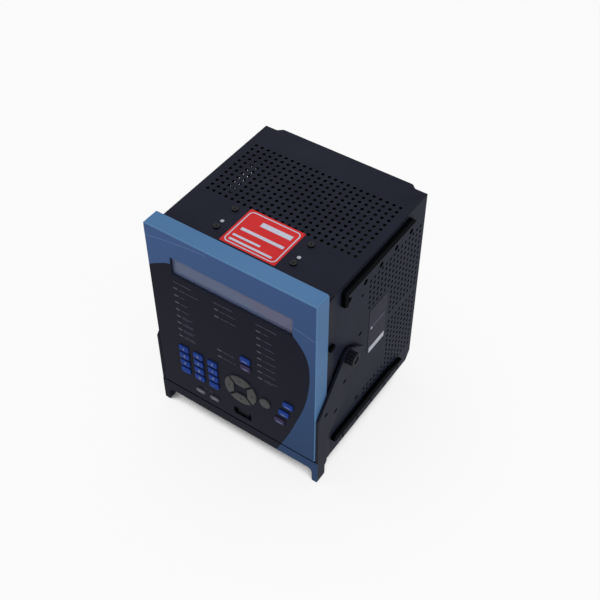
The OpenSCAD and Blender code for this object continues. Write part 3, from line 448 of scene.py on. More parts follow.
@dataclass(frozen=True)
class LiquidCrystal(Finish):
    """An unlit liquid crystal panel: smooth violet-grey glass with two rows of faint character cells."""

    middle: Vector
    colour: str = "9296B4"
    cell_colour: str = "8E92B0"
    cell_tint: str = "9094B2"
    lower_painted_light: str = "D6CFDA"
    cell_w_mm: float = 7.1
    cell_h_mm: float = 11.0
    gap_mm: float = 0.9

    def surface(self, tree: Tree) -> Socket:
        """Builds the finish's nodes.

        Args:
            tree: Empty node tree of the material.

        Returns:
            The shader that covers the surface.
        """
        coords = add(tree, "ShaderNodeTexCoord").outputs["Object"]
        laid = add(tree, "ShaderNodeMapping", {"Vector": coords, "Location": -self.middle / MM,
                                               "Scale": (1 / MM, 1 / MM, 1 / MM)}).outputs[0]
        split = add(tree, "ShaderNodeSeparateXYZ", {0: laid})
        flat = add(tree, "ShaderNodeCombineXYZ", {"X": split.outputs["X"], "Y": split.outputs["Z"]}).outputs[0]
        cells = add(tree, "ShaderNodeTexBrick", {
            "Vector": flat, "Color1": linear(self.cell_colour), "Color2": linear(self.cell_tint),
            "Mortar": linear(self.colour), "Scale": 1.0, "Mortar Size": self.gap_mm / 2, "Mortar Smooth": 0.3,
            "Brick Width": self.cell_w_mm, "Row Height": self.cell_h_mm}, offset=0.0).outputs[0]
        # Paler and a little warmer towards the lower edge: painted light that makes up for the shade the window's
        # recess casts on the panel.
        low = spread(tree, split.outputs["Z"], start=6.0, end=-12.0, high=0.75)
        rough = spread(tree, noise(tree, coords, 30), low=0.22, high=0.34)
        return add(tree, "ShaderNodeBsdfPrincipled", {"Base Color": blend(tree, low, cells, self.lower_painted_light),
                                                      "Roughness": rough}).outputs[0]


@dataclass(frozen=True)
class LightPipe(Finish):
    """Moulded clear acrylic light pipe: smoke grey while unlit, with fine prisms across its end."""

    colour: str = "343642"
    bright: str = "4E515F"
    rib_mm: float = 0.8

    def surface(self, tree: Tree) -> Socket:
        """Builds the finish's nodes.

        Args:
            tree: Empty node tree of the material.

        Returns:
            The shader that covers the surface.
        """
        coords = add(tree, "ShaderNodeTexCoord").outputs["Object"]
        ribs = add(tree, "ShaderNodeTexWave", {"Vector": coords, "Scale": 1 / (self.rib_mm * MM * 2 * math.pi),
                                               "Distortion": 0.0}, bands_direction="X").outputs[1]
        tone = blend(tree, noise(tree, coords, 3), self.colour, self.bright)
        return add(tree, "ShaderNodeBsdfPrincipled", {
            "Base Color": tone, "Roughness": 0.25, "IOR": ACRYLIC_IOR, "Specular IOR Level": 0.15,
            "Normal": bump(tree, ribs, 0.05)}).outputs[0]


@dataclass(frozen=True)
class StudioFloor(Finish):
    """Seamless white studio paper: even white to the camera, with the soft shadow left on it.

    Right under the object it keeps its deep shade, so no white shows through the vents.
    """

    colour: str = "F6F6F6"
    tint: str = "FAFAFA"
    glow: float = 0.84
    shade_mm: float = 150.0

    def surface(self, tree: Tree) -> Socket:
        """Builds the finish's nodes.

        Args:
            tree: Empty node tree of the material.

        Returns:
            The shader that covers the surface.
        """
        coords = add(tree, "ShaderNodeTexCoord").outputs["Object"]
        tone = blend(tree, noise(tree, coords, 4), self.colour, self.tint)
        paper = add(tree, "ShaderNodeBsdfDiffuse", {"Color": tone}).outputs[0]
        white = add(tree, "ShaderNodeEmission", {"Color": linear(WHITE), "Strength": 1.0}).outputs[0]
        # A point of the floor beside the object sees half the sky or more, and one under it sees far less.
        sky = add(tree, "ShaderNodeAmbientOcclusion", {"Distance": self.shade_mm * MM}, samples=16).outputs["AO"]
        clear = spread(tree, sky, start=0.25, end=0.45, high=self.glow)
        share = math_node(tree, "MULTIPLY", seen_rays(tree), clear)
        return add(tree, "ShaderNodeMixShader", {0: share, 1: paper, 2: white}).outputs[0]


# Steel sheet under fine black powder coat: dull blue-black with orange peel.
POWDER_BLACK = Solid("powder_coated_steel", "191B28", "20222F", "3E404C", roughness=0.5, grain_mm=0.9,
                     grain_depth_mm=0.03, ripple_mm=5, ripple_depth_mm=0.04, mottle_mm=55, edge_mm=0.5, edge_wear_and_painted_light=0.8,
                     specular=0.05)
# The same coat on the covers, whose vent walls are painted dark as shade.
POWDER_COVER = Sheet(**(vars(POWDER_BLACK) | {"name": "powder_coated_cover"}), across=(0.0, 0.0, 1.0))
# The same coat on the sides, given a lighter and greyer colour than on the top as painted light on the side-facing
# sheets; it also has a little more gloss.
POWDER_SIDE_PAINTED_LIGHT = replace(POWDER_COVER, name="powder_coated_side", colour="252837", tint="1F2230", edge="4A4D5E",
                      roughness=0.44, mottle_mm=70, specular=0.02, shade_reach_mm=7, shade_strength=0.97, across=(1.0, 0.0, 0.0))
# Glass-filled nylon, moulded: black, dry and slightly streaked along its length.
BLACK_NYLON = Solid("moulded_nylon", "040508", "07080C", "15171C", roughness=0.65, grain_mm=0.5, mottle_mm=18,
                    stretch=(1, 0.2, 1), edge_wear_and_painted_light=0.6, specular=0.01)
# The same nylon turned and knurled: its cut edges catch more light.
KNOB_NYLON = Solid("turned_nylon", "111319", "181A22", "6A6E7A", roughness=0.45, grain_mm=0.4, mottle_mm=3,
                   edge_mm=0.4, edge_wear_and_painted_light=1.5, specular=0.06, shade_reach_mm=2)
# ABS with an eroded grain, moulded black: the handle's matt body.
BLACK_ABS = Solid("grained_black_abs", "1B1D2A", "222533", "444757", roughness=0.5, grain_mm=0.7,
                  grain_depth_mm=0.05, mottle_mm=45, edge_mm=0.7, edge_wear_and_painted_light=0.8, specular=0.04,
                  shade_strength=0.97)
# Phenolic moulding: near black with a slight gloss, for the contact blocks.
PHENOLIC = Solid("phenolic_moulding", "121319", "181A20", "33353C", roughness=0.35, grain_mm=0.8, mottle_mm=12,
                 specular=0.05)
# Silicone rubber, moulded and sprayed: soft, saturated and dull. Painted shade darkens the rims of the blue and
# purple keys, and a painted highlight lightens those of the grey and pale keys.
BLUE_RUBBER = Solid("blue_silicone", "1E3C8C", "244598", "16285C", roughness=0.5, grain_mm=0.4, mottle_mm=5,
                    edge_mm=0.7, edge_wear_and_painted_light=1.4, specular=0.05)
PURPLE_RUBBER = replace(BLUE_RUBBER, name="purple_silicone", colour="3A3152", tint="42395A", edge="231D33")
GREY_RUBBER = Solid("grey_silicone", "4E4E52", "545453", "77777C", roughness=0.52, grain_mm=0.4, mottle_mm=8,
                    edge_mm=0.3, edge_wear_and_painted_light=0.6, specular=0.05)
PALE_RUBBER = replace(GREY_RUBBER, name="pale_silicone", colour="62626D", tint="6A6A74", edge="8A8B94", mottle_mm=6)
# Screen ink on the rubber keys: thin, so the rubber's colour greys it.
KEY_INK = Solid("key_screen_ink", "8694B8", "7886AA", "9AA6C4", roughness=0.6, grain_mm=0.3, mottle_mm=2,
                edge_mm=0.05, edge_wear_and_painted_light=0.2, specular=0.05, shade_strength=0.0)
# On the grey keys it is rubbed nearly to the rubber's grey, and on the pale keys it is the palest.
RUBBED_INK = replace(KEY_INK, name="rubbed_screen_ink", colour="686A72", tint="5E6068", edge="74767E")
PALE_INK = replace(KEY_INK, name="pale_screen_ink", colour="A6A8B2", tint="9699A4", edge="B4B6C0")
# Screen ink on the label: flat white, a little broken where it is rubbed.
WHITE_INK = Solid("white_screen_ink", "C9CDDC", "B9BECF", "D9DCE6", roughness=0.6, grain_mm=0.3, mottle_mm=2,
                  edge_mm=0.05, edge_wear_and_painted_light=0.2)
# Grey ink of the face's legends and the side label's lines, and darker ink of the arrows: dull, and low in contrast.
GREY_INK = replace(WHITE_INK, name="grey_screen_ink", colour="4E5062", tint="434556", edge="60626F", mottle_mm=3,
                   specular=0.05)
DARK_INK = replace(WHITE_INK, name="dark_screen_ink", colour="37383B", tint="3C3D3F", edge="48494B", specular=0.05)
# Printed vinyl, self-adhesive: bright red with the low gloss of a soft film.
RED_VINYL = Solid("red_vinyl", "D02A2C", "C72628", "E06060", roughness=0.4, grain_mm=0.6, ripple_mm=12,
                  mottle_mm=25, edge_mm=0.2, edge_wear_and_painted_light=0.4)
# The same film in dull violet-grey, on the side.
GREY_VINYL = replace(RED_VINYL, name="grey_vinyl", colour="282A3B", tint="242635", edge="46485A", roughness=0.42,
                     specular=0.03)
# The same film in white, for the pale strip.
PALE_VINYL = Solid("white_vinyl", "C4C6D4", "B4B6C6", "D8DAE4", roughness=0.45, grain_mm=0.5, mottle_mm=10,
                   edge_mm=0.1, edge_wear_and_painted_light=0.3)
# Blackened steel, turned: brown-black with a faint metal glint on its rim.
BLACK_STEEL = Solid("blackened_steel", "252325", "1C1B1E", "6A6560", roughness=0.38, metallic=0.8, grain_mm=0.3,
                    mottle_mm=3, edge_mm=0.3, edge_wear_and_painted_light=1.0)
# Aluminium, cold headed: bright and smooth.
BRIGHT_ALUMINIUM = Solid("bright_aluminium", "9DA0A8", "8C8F97", "C4C6CC", roughness=0.3, metallic=1.0,
                         grain_mm=0.3, mottle_mm=3, edge_mm=0.3)
# Zinc plate on folded steel: grey with soft spangle.
ZINC = Cracked("zinc_plated_steel", "9A9C9F", "8C8E92", "BDBEC0", roughness=0.36, metallic=1.0, mottle_mm=9,
               cell="A9ABAE", cell_mm=5, cell_share=0.05)
# Glass-epoxy board under green mask: the tracks show as paler lines.
GREEN_BOARD = Cracked("green_masked_board", "1A4A2B", "174226", "3C6B48", roughness=0.3, mottle_mm=15, cell="28663C",
                      cell_mm=5, cell_share=0.1)
# The same board under black mask, behind the keys and lamps.
BLACK_BOARD = replace(GREEN_BOARD, name="black_masked_board", colour="101216", tint="14161B", edge="2C2F36",
                      cell="191C22", specular=0.08)
# Yellow polyester tape wound round a core.
YELLOW_TAPE = Cracked("wound_tape", "A3792B", "94692A", "C49A4A", roughness=0.4, mottle_mm=10, cell="7D5A22",
                      cell_mm=7, cell_share=0.06)
# Moulded relay cover, near black with a low gloss.
DARK_COVER = Solid("dark_relay_cover", "1B1C20", "222327", "4A4B50", roughness=0.35, mottle_mm=14)
# Brass blades under bright tin: pale yellow metal with drawing marks along them.
TINNED_BRASS = Solid("tinned_brass", "C2AE78", "CDBC8C", "E6D8AA", roughness=0.28, metallic=1.0, grain_mm=0.4,
                     mottle_mm=4, stretch=(1, 0.1, 1))
# Clear sheet over the display: a veil that dulls it. Smoke-grey pipes: dark bars while the lamps are off.
CLEAR_WINDOW = ClearAcrylic("clear_acrylic")
LAMP_PIPE = LightPipe("smoke_light_pipe")


def dress(node: str, finish: Finish) -> None:
    """Puts a finish on a CAD node.

    Args:
        node: Name of the node.
        finish: Finish that covers it.
    """
    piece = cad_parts[node]
    if not piece.material_slots:
        piece.data.materials.append(finish.material())
    for place in piece.material_slots:
        place.material = finish.material()
    log.info("dressed %s in %s", node, finish.name)


def put(name: str, data: bpy.types.ID) -> bpy.types.Object:
    """Makes an object of a mesh, curve, camera or light and links it to the scene."""
    made = bpy.data.objects.new(name, data)
    bpy.context.scene.collection.objects.link(made)
    return made


def plain_mesh(name: str, shape: Mesh) -> bpy.types.Mesh:
    """Turns a shape into mesh data.

    Args:
        name: Name of the mesh.
        shape: Its shape, which is freed.

    Returns:
        The new mesh.
    """
    mesh = bpy.data.meshes.new(name)
    shape.to_mesh(mesh)
    shape.free()
    return mesh


def settle(name: str, shape: Mesh, finish: Finish, body: str) -> bpy.types.Object:
    """Makes a finished shape an object that rides on a body.

    Args:
        name: Name of the piece.
        shape: Its mesh, in place. It is freed.
        finish: Finish that covers it.
        body: Body that carries it.

    Returns:
        The new object.
    """
    bmesh.ops.recalc_face_normals(shape, faces=shape.faces)
    mesh = plain_mesh(name, shape)
    mesh.shade_smooth()
    mesh.set_sharp_from_angle(angle=math.radians(SHARP_DEGREES))
    mesh.materials.append(finish.material())
    piece = put(name, mesh)
    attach(piece, body)
    log.info("built %s: %d faces, on %s", name, len(mesh.polygons), body)
    return piece


def merged_copy(node: str) -> Mesh:
    """Copies a CAD node's mesh, with its loose triangles joined to flat faces.

    Args:
        node: Name of the node.

    Returns:
        The joined mesh.
    """
    shape = bmesh.new()
    shape.from_mesh(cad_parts[node].data)
    bmesh.ops.remove_doubles(shape, verts=shape.verts, dist=WELD_MM * MM)
    bmesh.ops.dissolve_limit(shape, angle_limit=math.radians(1), verts=shape.verts, edges=shape.edges)
    return shape


def bored_copy(node: str, cores: Mesh) -> Mesh:
    """Bores cores out of a copy of a CAD node.

    Args:
        node: Name of the node.
        cores: Closed solids that the bores take away. Their mesh is freed.

    Returns:
        The bored mesh.
    """
    blanks = [put(name, plain_mesh(name, shape))
              for name, shape in ((node + "_blank", merged_copy(node)), (node + "_cores", cores))]
    cut = blanks[0].modifiers.new("bores", "BOOLEAN")
    cut.operation, cut.solver, cut.object = "DIFFERENCE", "EXACT", blanks[1]
    bored = bmesh.new()
    bored.from_object(blanks[0], bpy.context.evaluated_depsgraph_get())
    for blank in blanks:
        bpy.data.meshes.remove(blank.data)
    return bored


@dataclass(frozen=True)
class Hole:
    """A round or oval hole from side to side: its place from a corner and its size, in millimetres."""

    back: float
    up: float
    length: float
    height: float

    def core(self, cores: Mesh, corner: Vector, depth_mm: float) -> None:
        """Adds the hole's core.

        Args:
            cores: Mesh that takes the core.
            corner: The corner, in the middle of the sheet's thickness.
            depth_mm: Length of the core across the sheet.
        """
        place = Matrix.Translation(corner + Vector((0, self.back, self.up)) * MM)
        size = Matrix.Diagonal((depth_mm * MM, self.length * MM, self.height * MM, 1))
        bmesh.ops.create_cone(cores, cap_ends=True, segments=32, radius1=0.5, radius2=0.5, depth=1.0,
                              matrix=place @ size @ Matrix.Rotation(math.pi / 2, 4, "Y"))


def block(shape: Mesh, low: Vector, high: Vector) -> None:
    """Adds a block between its lowest and its highest corner."""
    bmesh.ops.create_cube(shape, size=1.0, matrix=Matrix.Translation((low + high) / 2)
                          @ Matrix.Diagonal((*(high - low), 1.0)))


def rounded_plate(shape: Mesh, width: float, height: float, radius: float) -> bmesh.types.BMFace:
    """Adds a flat plate with rounded corners about the origin, facing up.

    Args:
        shape: Mesh that takes the plate.
        width: Its size along X.
        height: Its size along Y.
        radius: Radius of its corners.

    Returns:
        The plate's face.
    """
    corners = bmesh.ops.create_grid(shape, x_segments=1, y_segments=1, size=0.5,
                                    matrix=Matrix.Diagonal((width, height, 1.0, 1.0)))["verts"]
    bmesh.ops.bevel(shape, geom=corners, offset=radius, offset_type="OFFSET", segments=6, profile=0.5,
                    affect="VERTICES", material=-1, clamp_overlap=True)
    return max(shape.faces, key=lambda f: f.calc_area())


@dataclass(frozen=True)
class Face:
    """Places on the bezel's front, in millimetres from its middle and its bottom edge."""

    bottom: float
    front: float

    def point(self, x: float, z: float, out: float = 0.0) -> Vector:
        """Gives a place on the face in the frame's metres."""
        return Vector((x * MM, self.front - out * MM, self.bottom + z * MM))


@dataclass(frozen=True)
class Line:
    """One printed line, drawn as words of plain bars."""

    x: float
    z: float
    words: tuple[float, ...]
    height: float = 1.1


@dataclass
class FaceSheet:
    """The printed overlay and the plain bars that stand for its legends."""

    face: Face
    ink_mm: float = 0.05
    word_gap: float = 1.1
    line_step: float = 2.2
    lamp_top: float = 173.6
    lamp_pitch: float = 10.7
    left_x: float = -67.0
    middle_x: float = -13.2
    right_x: float = 40.8
    left_words: tuple[tuple[tuple[float, ...], ...], ...] = (
        ((8, 4, 11),), ((6,),), ((9,),), ((10.5,),), ((7, 6), (9,)), ((9, 4), (8, 5)), ((6, 8), (12,)),
        ((8, 6), (5, 9)))
    middle_words: tuple[tuple[int, tuple[tuple[float, ...], ...]], ...] = (
        (0, ((7, 12),)), (1, ((11, 8),)), (6, ((9, 5),)), (7, ((12, 4),)))
    right_words: tuple[tuple[tuple[float, ...], ...], ...] = (
        ((1.6, 6),), ((1.6, 9),), ((1.6, 12),), ((1.6, 12),), ((1.6, 13),), ((1.6, 12.5),), ((1.6, 13),),
        ((1.6, 6, 7), (11,)))
    headings: tuple[Line, ...] = (Line(-74.5, 183.2, (9, 14), 1.3), Line(-21.0, 183.2, (11, 12), 1.3),
                                  Line(33.0, 183.2, (10, 15), 1.3))
    small: tuple[Line, ...] = (Line(-45.6, 24.4, (5, 6.2), 0.9),)

    def lines(self) -> list[Line]:
        """Lays out every printed line.

        Returns:
            The headings, the legends beside the lamps and the small line over the oval keys.
        """
        laid = list(self.headings) + list(self.small)
        groups = [(self.left_x, row, words) for row, words in enumerate(self.left_words)]
        groups += [(self.middle_x, row, words) for row, words in self.middle_words]
        groups += [(self.right_x, row, words) for row, words in enumerate(self.right_words)]
        for x, row, words in groups:
            z = self.lamp_top - row * self.lamp_pitch
            for i, line in enumerate(words):
                laid.append(Line(x, z + ((len(words) - 1) / 2 - i) * self.line_step, line))
        return laid

    def build(self) -> None:
        """Dresses the overlay and prints its legends."""
        dress("face_overlay", PrintedFilm("printed_film", self.face.bottom))
        shape = bmesh.new()
        for line in self.lines():
            x = line.x
            for word in line.words:
                block(shape, self.face.point(x, line.z - line.height / 2, self.ink_mm),
                      self.face.point(x + word, line.z + line.height / 2, -self.ink_mm))
                x += word + self.word_gap
        settle("face_legends", shape, GREY_INK, CHASSIS)


class Cap(Enum):
    """Kinds of key rubber, by their slot in the record."""

    BLUE = "key_blue"
    PURPLE = "key_purple"
    GREY = "key_grey"
    PALE = "key_pale"


class Mark(Enum):
    """What is printed on a key."""

    DIGIT = "digit"
    BAR = "bar"
    ARROW = "arrow"
    PLAIN = "plain"


CAP_FINISH = {Cap.BLUE: BLUE_RUBBER, Cap.PURPLE: PURPLE_RUBBER, Cap.GREY: GREY_RUBBER, Cap.PALE: PALE_RUBBER}
INK_FINISH = {Cap.BLUE: KEY_INK, Cap.PURPLE: KEY_INK, Cap.GREY: RUBBED_INK, Cap.PALE: PALE_INK}


@dataclass(frozen=True)
class Key:
    """One key: its rubber and its mark."""

    name: str
    cap: Cap
    mark: Mark
    glyph: str = ""
    turn: float = 0.0


@dataclass
class Keypad:
    """The rubber keys, each with softened edges and its own printed mark."""

    edge_mm: float = 0.7
    edge_steps: int = 3
    rim_radians: float = 0.5
    ink_mm: float = 0.06
    digit_mm: float = 6.0
    digit_swell_mm: float = 0.14
    bar_mm: tuple[float, float] = (6.4, 1.2)
    # How far under the middle of a blue or purple key its bar lies.
    bar_drop_mm: float = 1.6
    arrow_mm: float = 4.4
    keys: tuple[Key, ...] = field(default_factory=lambda: (
        *(Key(name, Cap.BLUE, Mark.DIGIT, str(i + 1)) for i, name in enumerate(
            ("one", "two", "three", "four", "five", "six", "seven", "eight", "nine"))),
        Key("left_blank", Cap.BLUE, Mark.PLAIN), Key("zero", Cap.BLUE, Mark.DIGIT, "0"),
        Key("dot", Cap.BLUE, Mark.DIGIT, "."),
        Key("help", Cap.BLUE, Mark.BAR), Key("message", Cap.PURPLE, Mark.BAR),
        Key("up", Cap.GREY, Mark.ARROW), Key("left", Cap.GREY, Mark.ARROW, turn=90),
        Key("down", Cap.GREY, Mark.ARROW, turn=180), Key("right", Cap.GREY, Mark.ARROW, turn=270),
        Key("round", Cap.GREY, Mark.BAR), Key("reset", Cap.PALE, Mark.BAR), Key("next", Cap.PALE, Mark.BAR),
        Key("setpoint", Cap.BLUE, Mark.BAR), Key("actual", Cap.BLUE, Mark.BAR), Key("store", Cap.PURPLE, Mark.BAR)))

    def soften(self, node: str) -> Mesh:
        """Copies a key and rounds the edge of its front.

        Args:
            node: Name of the key's node.

        Returns:
            The softened mesh.
        """
        shape = merged_copy(node)
        front = min(v.co.y for v in shape.verts)
        rim = [e for e in shape.edges if all(abs(v.co.y - front) < 0.01 * MM for v in e.verts)
               and len(e.link_faces) == 2 and e.calc_face_angle() > self.rim_radians]
        bmesh.ops.bevel(shape, geom=rim, offset=self.edge_mm * MM, offset_type="OFFSET", segments=self.edge_steps,
                        profile=0.5, affect="EDGES", material=-1, clamp_overlap=True)
        return shape

    def glyph(self, text: str) -> Mesh:
        """Draws a character as a thin upright plate about the origin.

        Args:
            text: The character.

        Returns:
            Its mesh, facing the front.
        """
        curve = bpy.data.curves.new("glyph", "FONT")
        curve.body = text
        curve.size = self.digit_mm * MM
        curve.offset = self.digit_swell_mm * MM
        curve.extrude = self.ink_mm * MM
        curve.align_x = "CENTER"
        holder = put("glyph", curve)
        bpy.context.view_layer.update()
        flat = bpy.data.meshes.new_from_object(holder.evaluated_get(bpy.context.evaluated_depsgraph_get()))
        shape = bmesh.new()
        shape.from_mesh(flat)
        bpy.data.objects.remove(holder)
        bpy.data.curves.remove(curve)
        bpy.data.meshes.remove(flat)
        bmesh.ops.remove_doubles(shape, verts=shape.verts, dist=WELD_MM * MM)
        high = max(v.co.y for v in shape.verts)
        low = min(v.co.y for v in shape.verts)
        drop = (high + low) / 2 if text != "." else 0.0
        bmesh.ops.translate(shape, verts=shape.verts, vec=(0, -drop, 0))
        bmesh.ops.rotate(shape, verts=shape.verts, cent=(0, 0, 0), matrix=Matrix.Rotation(math.pi / 2, 3, "X"))
        return shape

    def sign(self, key: Key) -> Mesh | None:
        """Draws a key's mark about the origin.

        Args:
            key: The key.

        Returns:
            Its mesh, facing the front, or None for a plain key.
        """
        if key.mark is Mark.PLAIN:
            return None
        if key.mark is Mark.DIGIT:
            return self.glyph(key.glyph)
        shape = bmesh.new()
        if key.mark is Mark.BAR:
            w, h = self.bar_mm
            lift = -self.bar_drop_mm if key.cap in (Cap.BLUE, Cap.PURPLE) else 0.0
            block(shape, Vector((-w / 2, -self.ink_mm, lift - h / 2)) * MM,
                  Vector((w / 2, self.ink_mm, lift + h / 2)) * MM)
            return shape
        bmesh.ops.create_cone(shape, cap_ends=True, segments=3, radius1=self.arrow_mm / 2 * MM,
                              radius2=self.arrow_mm / 2 * MM, depth=2 * self.ink_mm * MM,
                              matrix=Matrix.Rotation(math.pi / 2, 4, "X") @ Matrix.Rotation(math.pi / 2, 4, "Z"))
        bmesh.ops.rotate(shape, verts=shape.verts, cent=(0, 0, 0),
                         matrix=Matrix.Rotation(-math.radians(key.turn), 3, "Y"))
        return shape

    def build(self) -> None:
        """Builds each key and prints its mark on its front."""
        for key in self.keys:
            node = "key_" + key.name
            low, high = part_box(node)
            cap = settle("cap_" + key.name, self.soften(node), CAP_FINISH[key.cap], node)
            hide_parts(node)
            mark = self.sign(key)
            if mark is None:
                continue
            middle = Vector(((low.x + high.x) / 2, low.y, (low.z + high.z) / 2))
            bmesh.ops.translate(mark, verts=mark.verts, vec=middle)
            ink = DARK_INK if key.mark is Mark.ARROW else INK_FINISH[key.cap]
            settle("mark_" + key.name, mark, ink, node)


@dataclass
class TopLabel:
    """The red label on the top: a rounded white border and plain bars."""

    edge_mm: float = 2.4
    ring_mm: float = 1.3
    radius_mm: float = 5.5
    ink_mm: float = 0.06
    # Middle across the label and along it, width and height of each bar.
    bars: Bars = (
        (7.6, 14.2, 38, 6.5), (1.0, -2.0, 53, 4.0), (-10.5, -13.5, 34, 2.8), (-1.0, -20.2, 53, 2.8))

    def build(self) -> None:
        """Dresses the label and prints its border and bars."""
        dress("top_label", RED_VINYL)
        low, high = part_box("top_label")
        middle = Vector(((low.x + high.x) / 2, (low.y + high.y) / 2, high.z))
        width, length = high.x - low.x, high.y - low.y
        shape = bmesh.new()
        plate = rounded_plate(shape, width - 2 * self.edge_mm * MM, length - 2 * self.edge_mm * MM,
                              self.radius_mm * MM)
        bmesh.ops.inset_region(shape, faces=[plate], thickness=self.ring_mm * MM, use_boundary=True,
                               use_even_offset=True)
        bmesh.ops.delete(shape, geom=[plate], context="FACES")
        bmesh.ops.solidify(shape, geom=shape.faces[:], thickness=self.ink_mm * MM)
        bmesh.ops.translate(shape, verts=shape.verts,
                            vec=middle + Vector((0, 0, self.ink_mm * MM - max(v.co.z for v in shape.verts))))
        for x, y, w, h in self.bars:
            spot = middle + Vector((x, y, 0)) * MM
            half = Vector((w / 2, h / 2, self.ink_mm)) * MM
            block(shape, spot - half, spot + half)
        settle("top_label_print", shape, WHITE_INK, CHASSIS)


@dataclass
class SideLabel:
    """The label on the right side: violet-grey film with a white strip and fine bars."""

    ink_mm: float = 0.06
    # Distance from the label's front edge and from its top, length and height of each bar.
    pale: Bars = ((2.8, 61.8, 32.0, 8.0), (4.5, 29.3, 3.0, 3.4))
    fine: Bars = (
        (9.0, 27.6, 24.5, 5.2), (4.0, 38.0, 27.0, 0.8), (4.0, 41.5, 18.0, 0.8), (4.0, 49.0, 25.0, 0.8),
        (4.0, 52.5, 20.0, 0.8))

    def print(self, name: str, bars: Bars, finish: Finish) -> None:
        """Prints bars on the label.

        Args:
            name: Name of the new piece.
            bars: Places and sizes of the bars.
            finish: Ink that they are printed in.
        """
        low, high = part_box("side_label")
        shape = bmesh.new()
        for along, down, length, height in bars:
            block(shape, Vector((high.x - self.ink_mm * MM, low.y + along * MM, high.z - (down + height) * MM)),
                  Vector((high.x + self.ink_mm * MM, low.y + (along + length) * MM, high.z - down * MM)))
        settle(name, shape, finish, CHASSIS)

    def build(self) -> None:
        """Dresses the label and prints its strip and bars."""
        dress("side_label", GREY_VINYL)
        self.print("side_label_strip", self.pale, PALE_VINYL)
        self.print("side_label_lines", self.fine, GREY_INK)


@dataclass
class Chassis:
    """The sheet chassis with its rails, fasteners, boards and contacts."""

    finishes: tuple[tuple[Finish, tuple[str, ...]], ...] = (
        (POWDER_BLACK, ("front_subpanel", "rear_panel")), (POWDER_COVER, ("top_cover", "bottom_cover")),
        (BLACK_NYLON, ("left_upper_rail", "right_upper_rail", "left_lower_rail", "right_lower_rail",
                       "left_stop_block", "right_stop_block")),
        (KNOB_NYLON, ("left_pivot_knob", "right_pivot_knob")), (BLACK_STEEL, ("cover_screws",)),
        (BRIGHT_ALUMINIUM, ("cover_rivets",)), (ZINC, ("cover_bracket",)),
        (GREEN_BOARD, ("processor_board", "io_board", "power_board")), (BLACK_BOARD, ("key_board",)),
        (YELLOW_TAPE, ("ring_transformers",)), (DARK_COVER, ("output_relays",)),
        (PHENOLIC, ("contact_blocks", "port_connector")), (TINNED_BRASS, ("contact_blades",)),
        (LAMP_PIPE, ("lamp_lenses",)), (CLEAR_WINDOW, ("display_window",)))
    rim_mm: float = 3.0
    # The side panels' slots are bored out to the round and oval holes that the real ones have.
    sheet_mm: float = 1.5
    # The first hole stands for a row of these, at this pitch.
    row_holes: int = 5
    hole_pitch_mm: float = 30.6
    side_holes: tuple[Hole, ...] = (
        Hole(38.2, -30.1, 7.2, 7.2), Hole(64.0, -45.7, 4.0, 4.0), Hole(64.0, -104.4, 7.2, 4.0),
        Hole(64.0, -213.7, 7.2, 4.0))

    def side_panels(self) -> None:
        """Bores and dresses the two side panels."""
        first = self.side_holes[0]
        row = tuple(replace(first, back=first.back + i * self.hole_pitch_mm) for i in range(1, self.row_holes))
        for node in ("left_side_panel", "right_side_panel"):
            low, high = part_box(node)
            cores = bmesh.new()
            for hole in self.side_holes + row:
                hole.core(cores, Vector(((low.x + high.x) / 2, low.y, high.z)), 2 * self.sheet_mm)
            piece = settle(node.replace("panel", "sheet"), bored_copy(node, cores), POWDER_SIDE_PAINTED_LIGHT, CHASSIS)
            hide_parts(node)

    def bezel(self) -> Finish:
        """Gives the bezel's finish.

        Returns:
            Moulded ABS whose satin blue paint covers its rim only, with a pale painted highlight along its edges.
        """
        low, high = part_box("bezel")
        half = (high - low) / 2 - Vector((self.rim_mm, 0, self.rim_mm)) * MM
        return Rimmed("painted_blue_abs", "4D749E", "547CA8", "7298C2", roughness=0.42, specular=0.05,
                      grain_mm=0.5, grain_depth_mm=0.01, ripple_mm=25, ripple_depth_mm=0.05, mottle_mm=90,
                      edge_mm=0.4, edge_wear_and_painted_light=1.3, shade_strength=0.0, middle=(low + high) / 2, half=(half.x, half.z))

    def build(self) -> None:
        """Dresses every node of the chassis and the display behind its window."""
        dress("bezel", self.bezel())
        for finish, nodes in self.finishes:
            for node in nodes:
                dress(node, finish)
        self.side_panels()
        low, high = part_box("display_window")
        dress("display_module", LiquidCrystal("liquid_crystal_panel", (low + high) / 2))


@dataclass
class Handle:
    """The swinging handle and the printed strip on its front."""

    face: Face
    arm_mm: float = 3.3
    # How much longer a core is than the arm is thick.
    spare_mm: float = 1.0
    arm_holes: tuple[Hole, ...] = (
        Hole(50.9, 93.9, 7.2, 4.4), Hole(15.4, 72.7, 7.2, 4.4), Hole(34.4, 60.1, 7.2, 4.4))

    def build(self) -> None:
        """Bores the arms' slots out to ovals and dresses the handle and its strip."""
        low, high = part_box("handle")
        cores = bmesh.new()
        for side, edge in ((1, low.x), (-1, high.x)):
            for hole in self.arm_holes:
                hole.core(cores, Vector((edge + side * self.arm_mm / 2 * MM, self.face.front, self.face.bottom)),
                          self.arm_mm + self.spare_mm)
        body = settle("handle_body", bored_copy("handle", cores), BLACK_ABS, HANDLE)
        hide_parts("handle")
        dress("handle_fascia", PrintedFilm("printed_film", self.face.bottom))


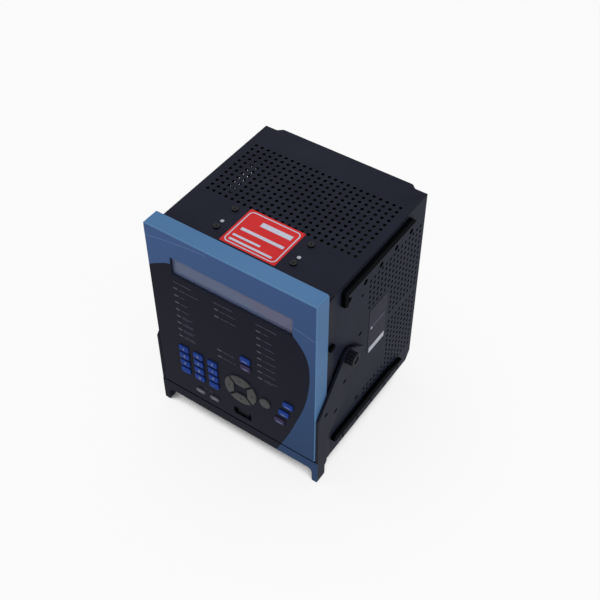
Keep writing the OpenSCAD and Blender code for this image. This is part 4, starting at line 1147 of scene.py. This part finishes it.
@dataclass
class Studio:
    """Camera, soft lights and a white floor."""

    eye: Vector = field(default_factory=lambda: Vector((0.4646, -0.66455, 0.9933)))
    gaze: Vector = field(default_factory=lambda: Vector((-0.3897, 0.5687, -0.7244)))
    lens_mm: float = 61.86
    sensor_mm: float = 36.0
    shift: tuple[float, float] = (0.0008, -0.0027)
    floor_m: float = 8.0
    sky: float = 0.62
    # Place, aim, width and power of each soft light.
    lights: tuple[tuple[str, tuple[float, float, float], tuple[float, float, float], float, float], ...] = (
        ("overhead_softbox", (-0.3, 0.1, 1.9), (0.0, 0.0, 0.2), 1.6, 9.0),
        ("right_softbox", (1.7, -0.4, 0.9), (0.0, 0.0, 0.12), 1.2, 3.15))

    def camera(self) -> None:
        """Sets the camera where the photograph was taken from."""
        data = bpy.data.cameras.new("camera")
        data.lens = self.lens_mm
        data.sensor_width = self.sensor_mm
        data.shift_x, data.shift_y = self.shift
        eye = put("camera", data)
        eye.location = self.eye
        eye.rotation_euler = self.gaze.to_track_quat("-Z", "Y").to_euler()
        bpy.context.scene.camera = eye

    def lamps(self) -> None:
        """Hangs the soft lights and sets the sky."""
        for name, place, aim, width, power in self.lights:
            data = bpy.data.lights.new(name, "AREA")
            data.shape = "DISK"
            data.size = width
            data.energy = power
            lamp = put(name, data)
            lamp.location = place
            lamp.rotation_euler = (Vector(aim) - Vector(place)).to_track_quat("-Z", "Y").to_euler()
        world = bpy.context.scene.world or bpy.data.worlds.new("sky")
        bpy.context.scene.world = world
        world.use_nodes = True
        tree = world.node_tree
        tree.nodes.clear()
        level = spread(tree, seen_rays(tree), low=self.sky)
        sky = add(tree, "ShaderNodeBackground", {"Color": linear(WHITE), "Strength": level}).outputs[0]
        add(tree, "ShaderNodeOutputWorld", {"Surface": sky})

    def floor(self) -> None:
        """Lays the floor under the lowest point of the object."""
        shape = bmesh.new()
        bmesh.ops.create_grid(shape, x_segments=1, y_segments=1, size=self.floor_m / 2)
        mesh = plain_mesh("floor", shape)
        mesh.materials.append(StudioFloor("white_paper").material())
        put("floor", mesh)

    def build(self) -> None:
        """Sets the whole studio."""
        bpy.context.scene.view_settings.view_transform = "Standard"
        self.camera()
        self.lamps()
        self.floor()


def main() -> None:
    """Reads the bezel's and the overlay's boxes and builds every sub-assembly in order."""
    logging.basicConfig(level=logging.INFO, format="%(name)s: %(message)s")
    face = Face(bottom=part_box("bezel")[0].z, front=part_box("face_overlay")[0].y)
    for part in (Studio(), Chassis(), FaceSheet(face), Keypad(), TopLabel(), SideLabel(), Handle(face)):
        part.build()
        log.info("%s is done", type(part).__name__)


if __name__ == "__main__":
    main()
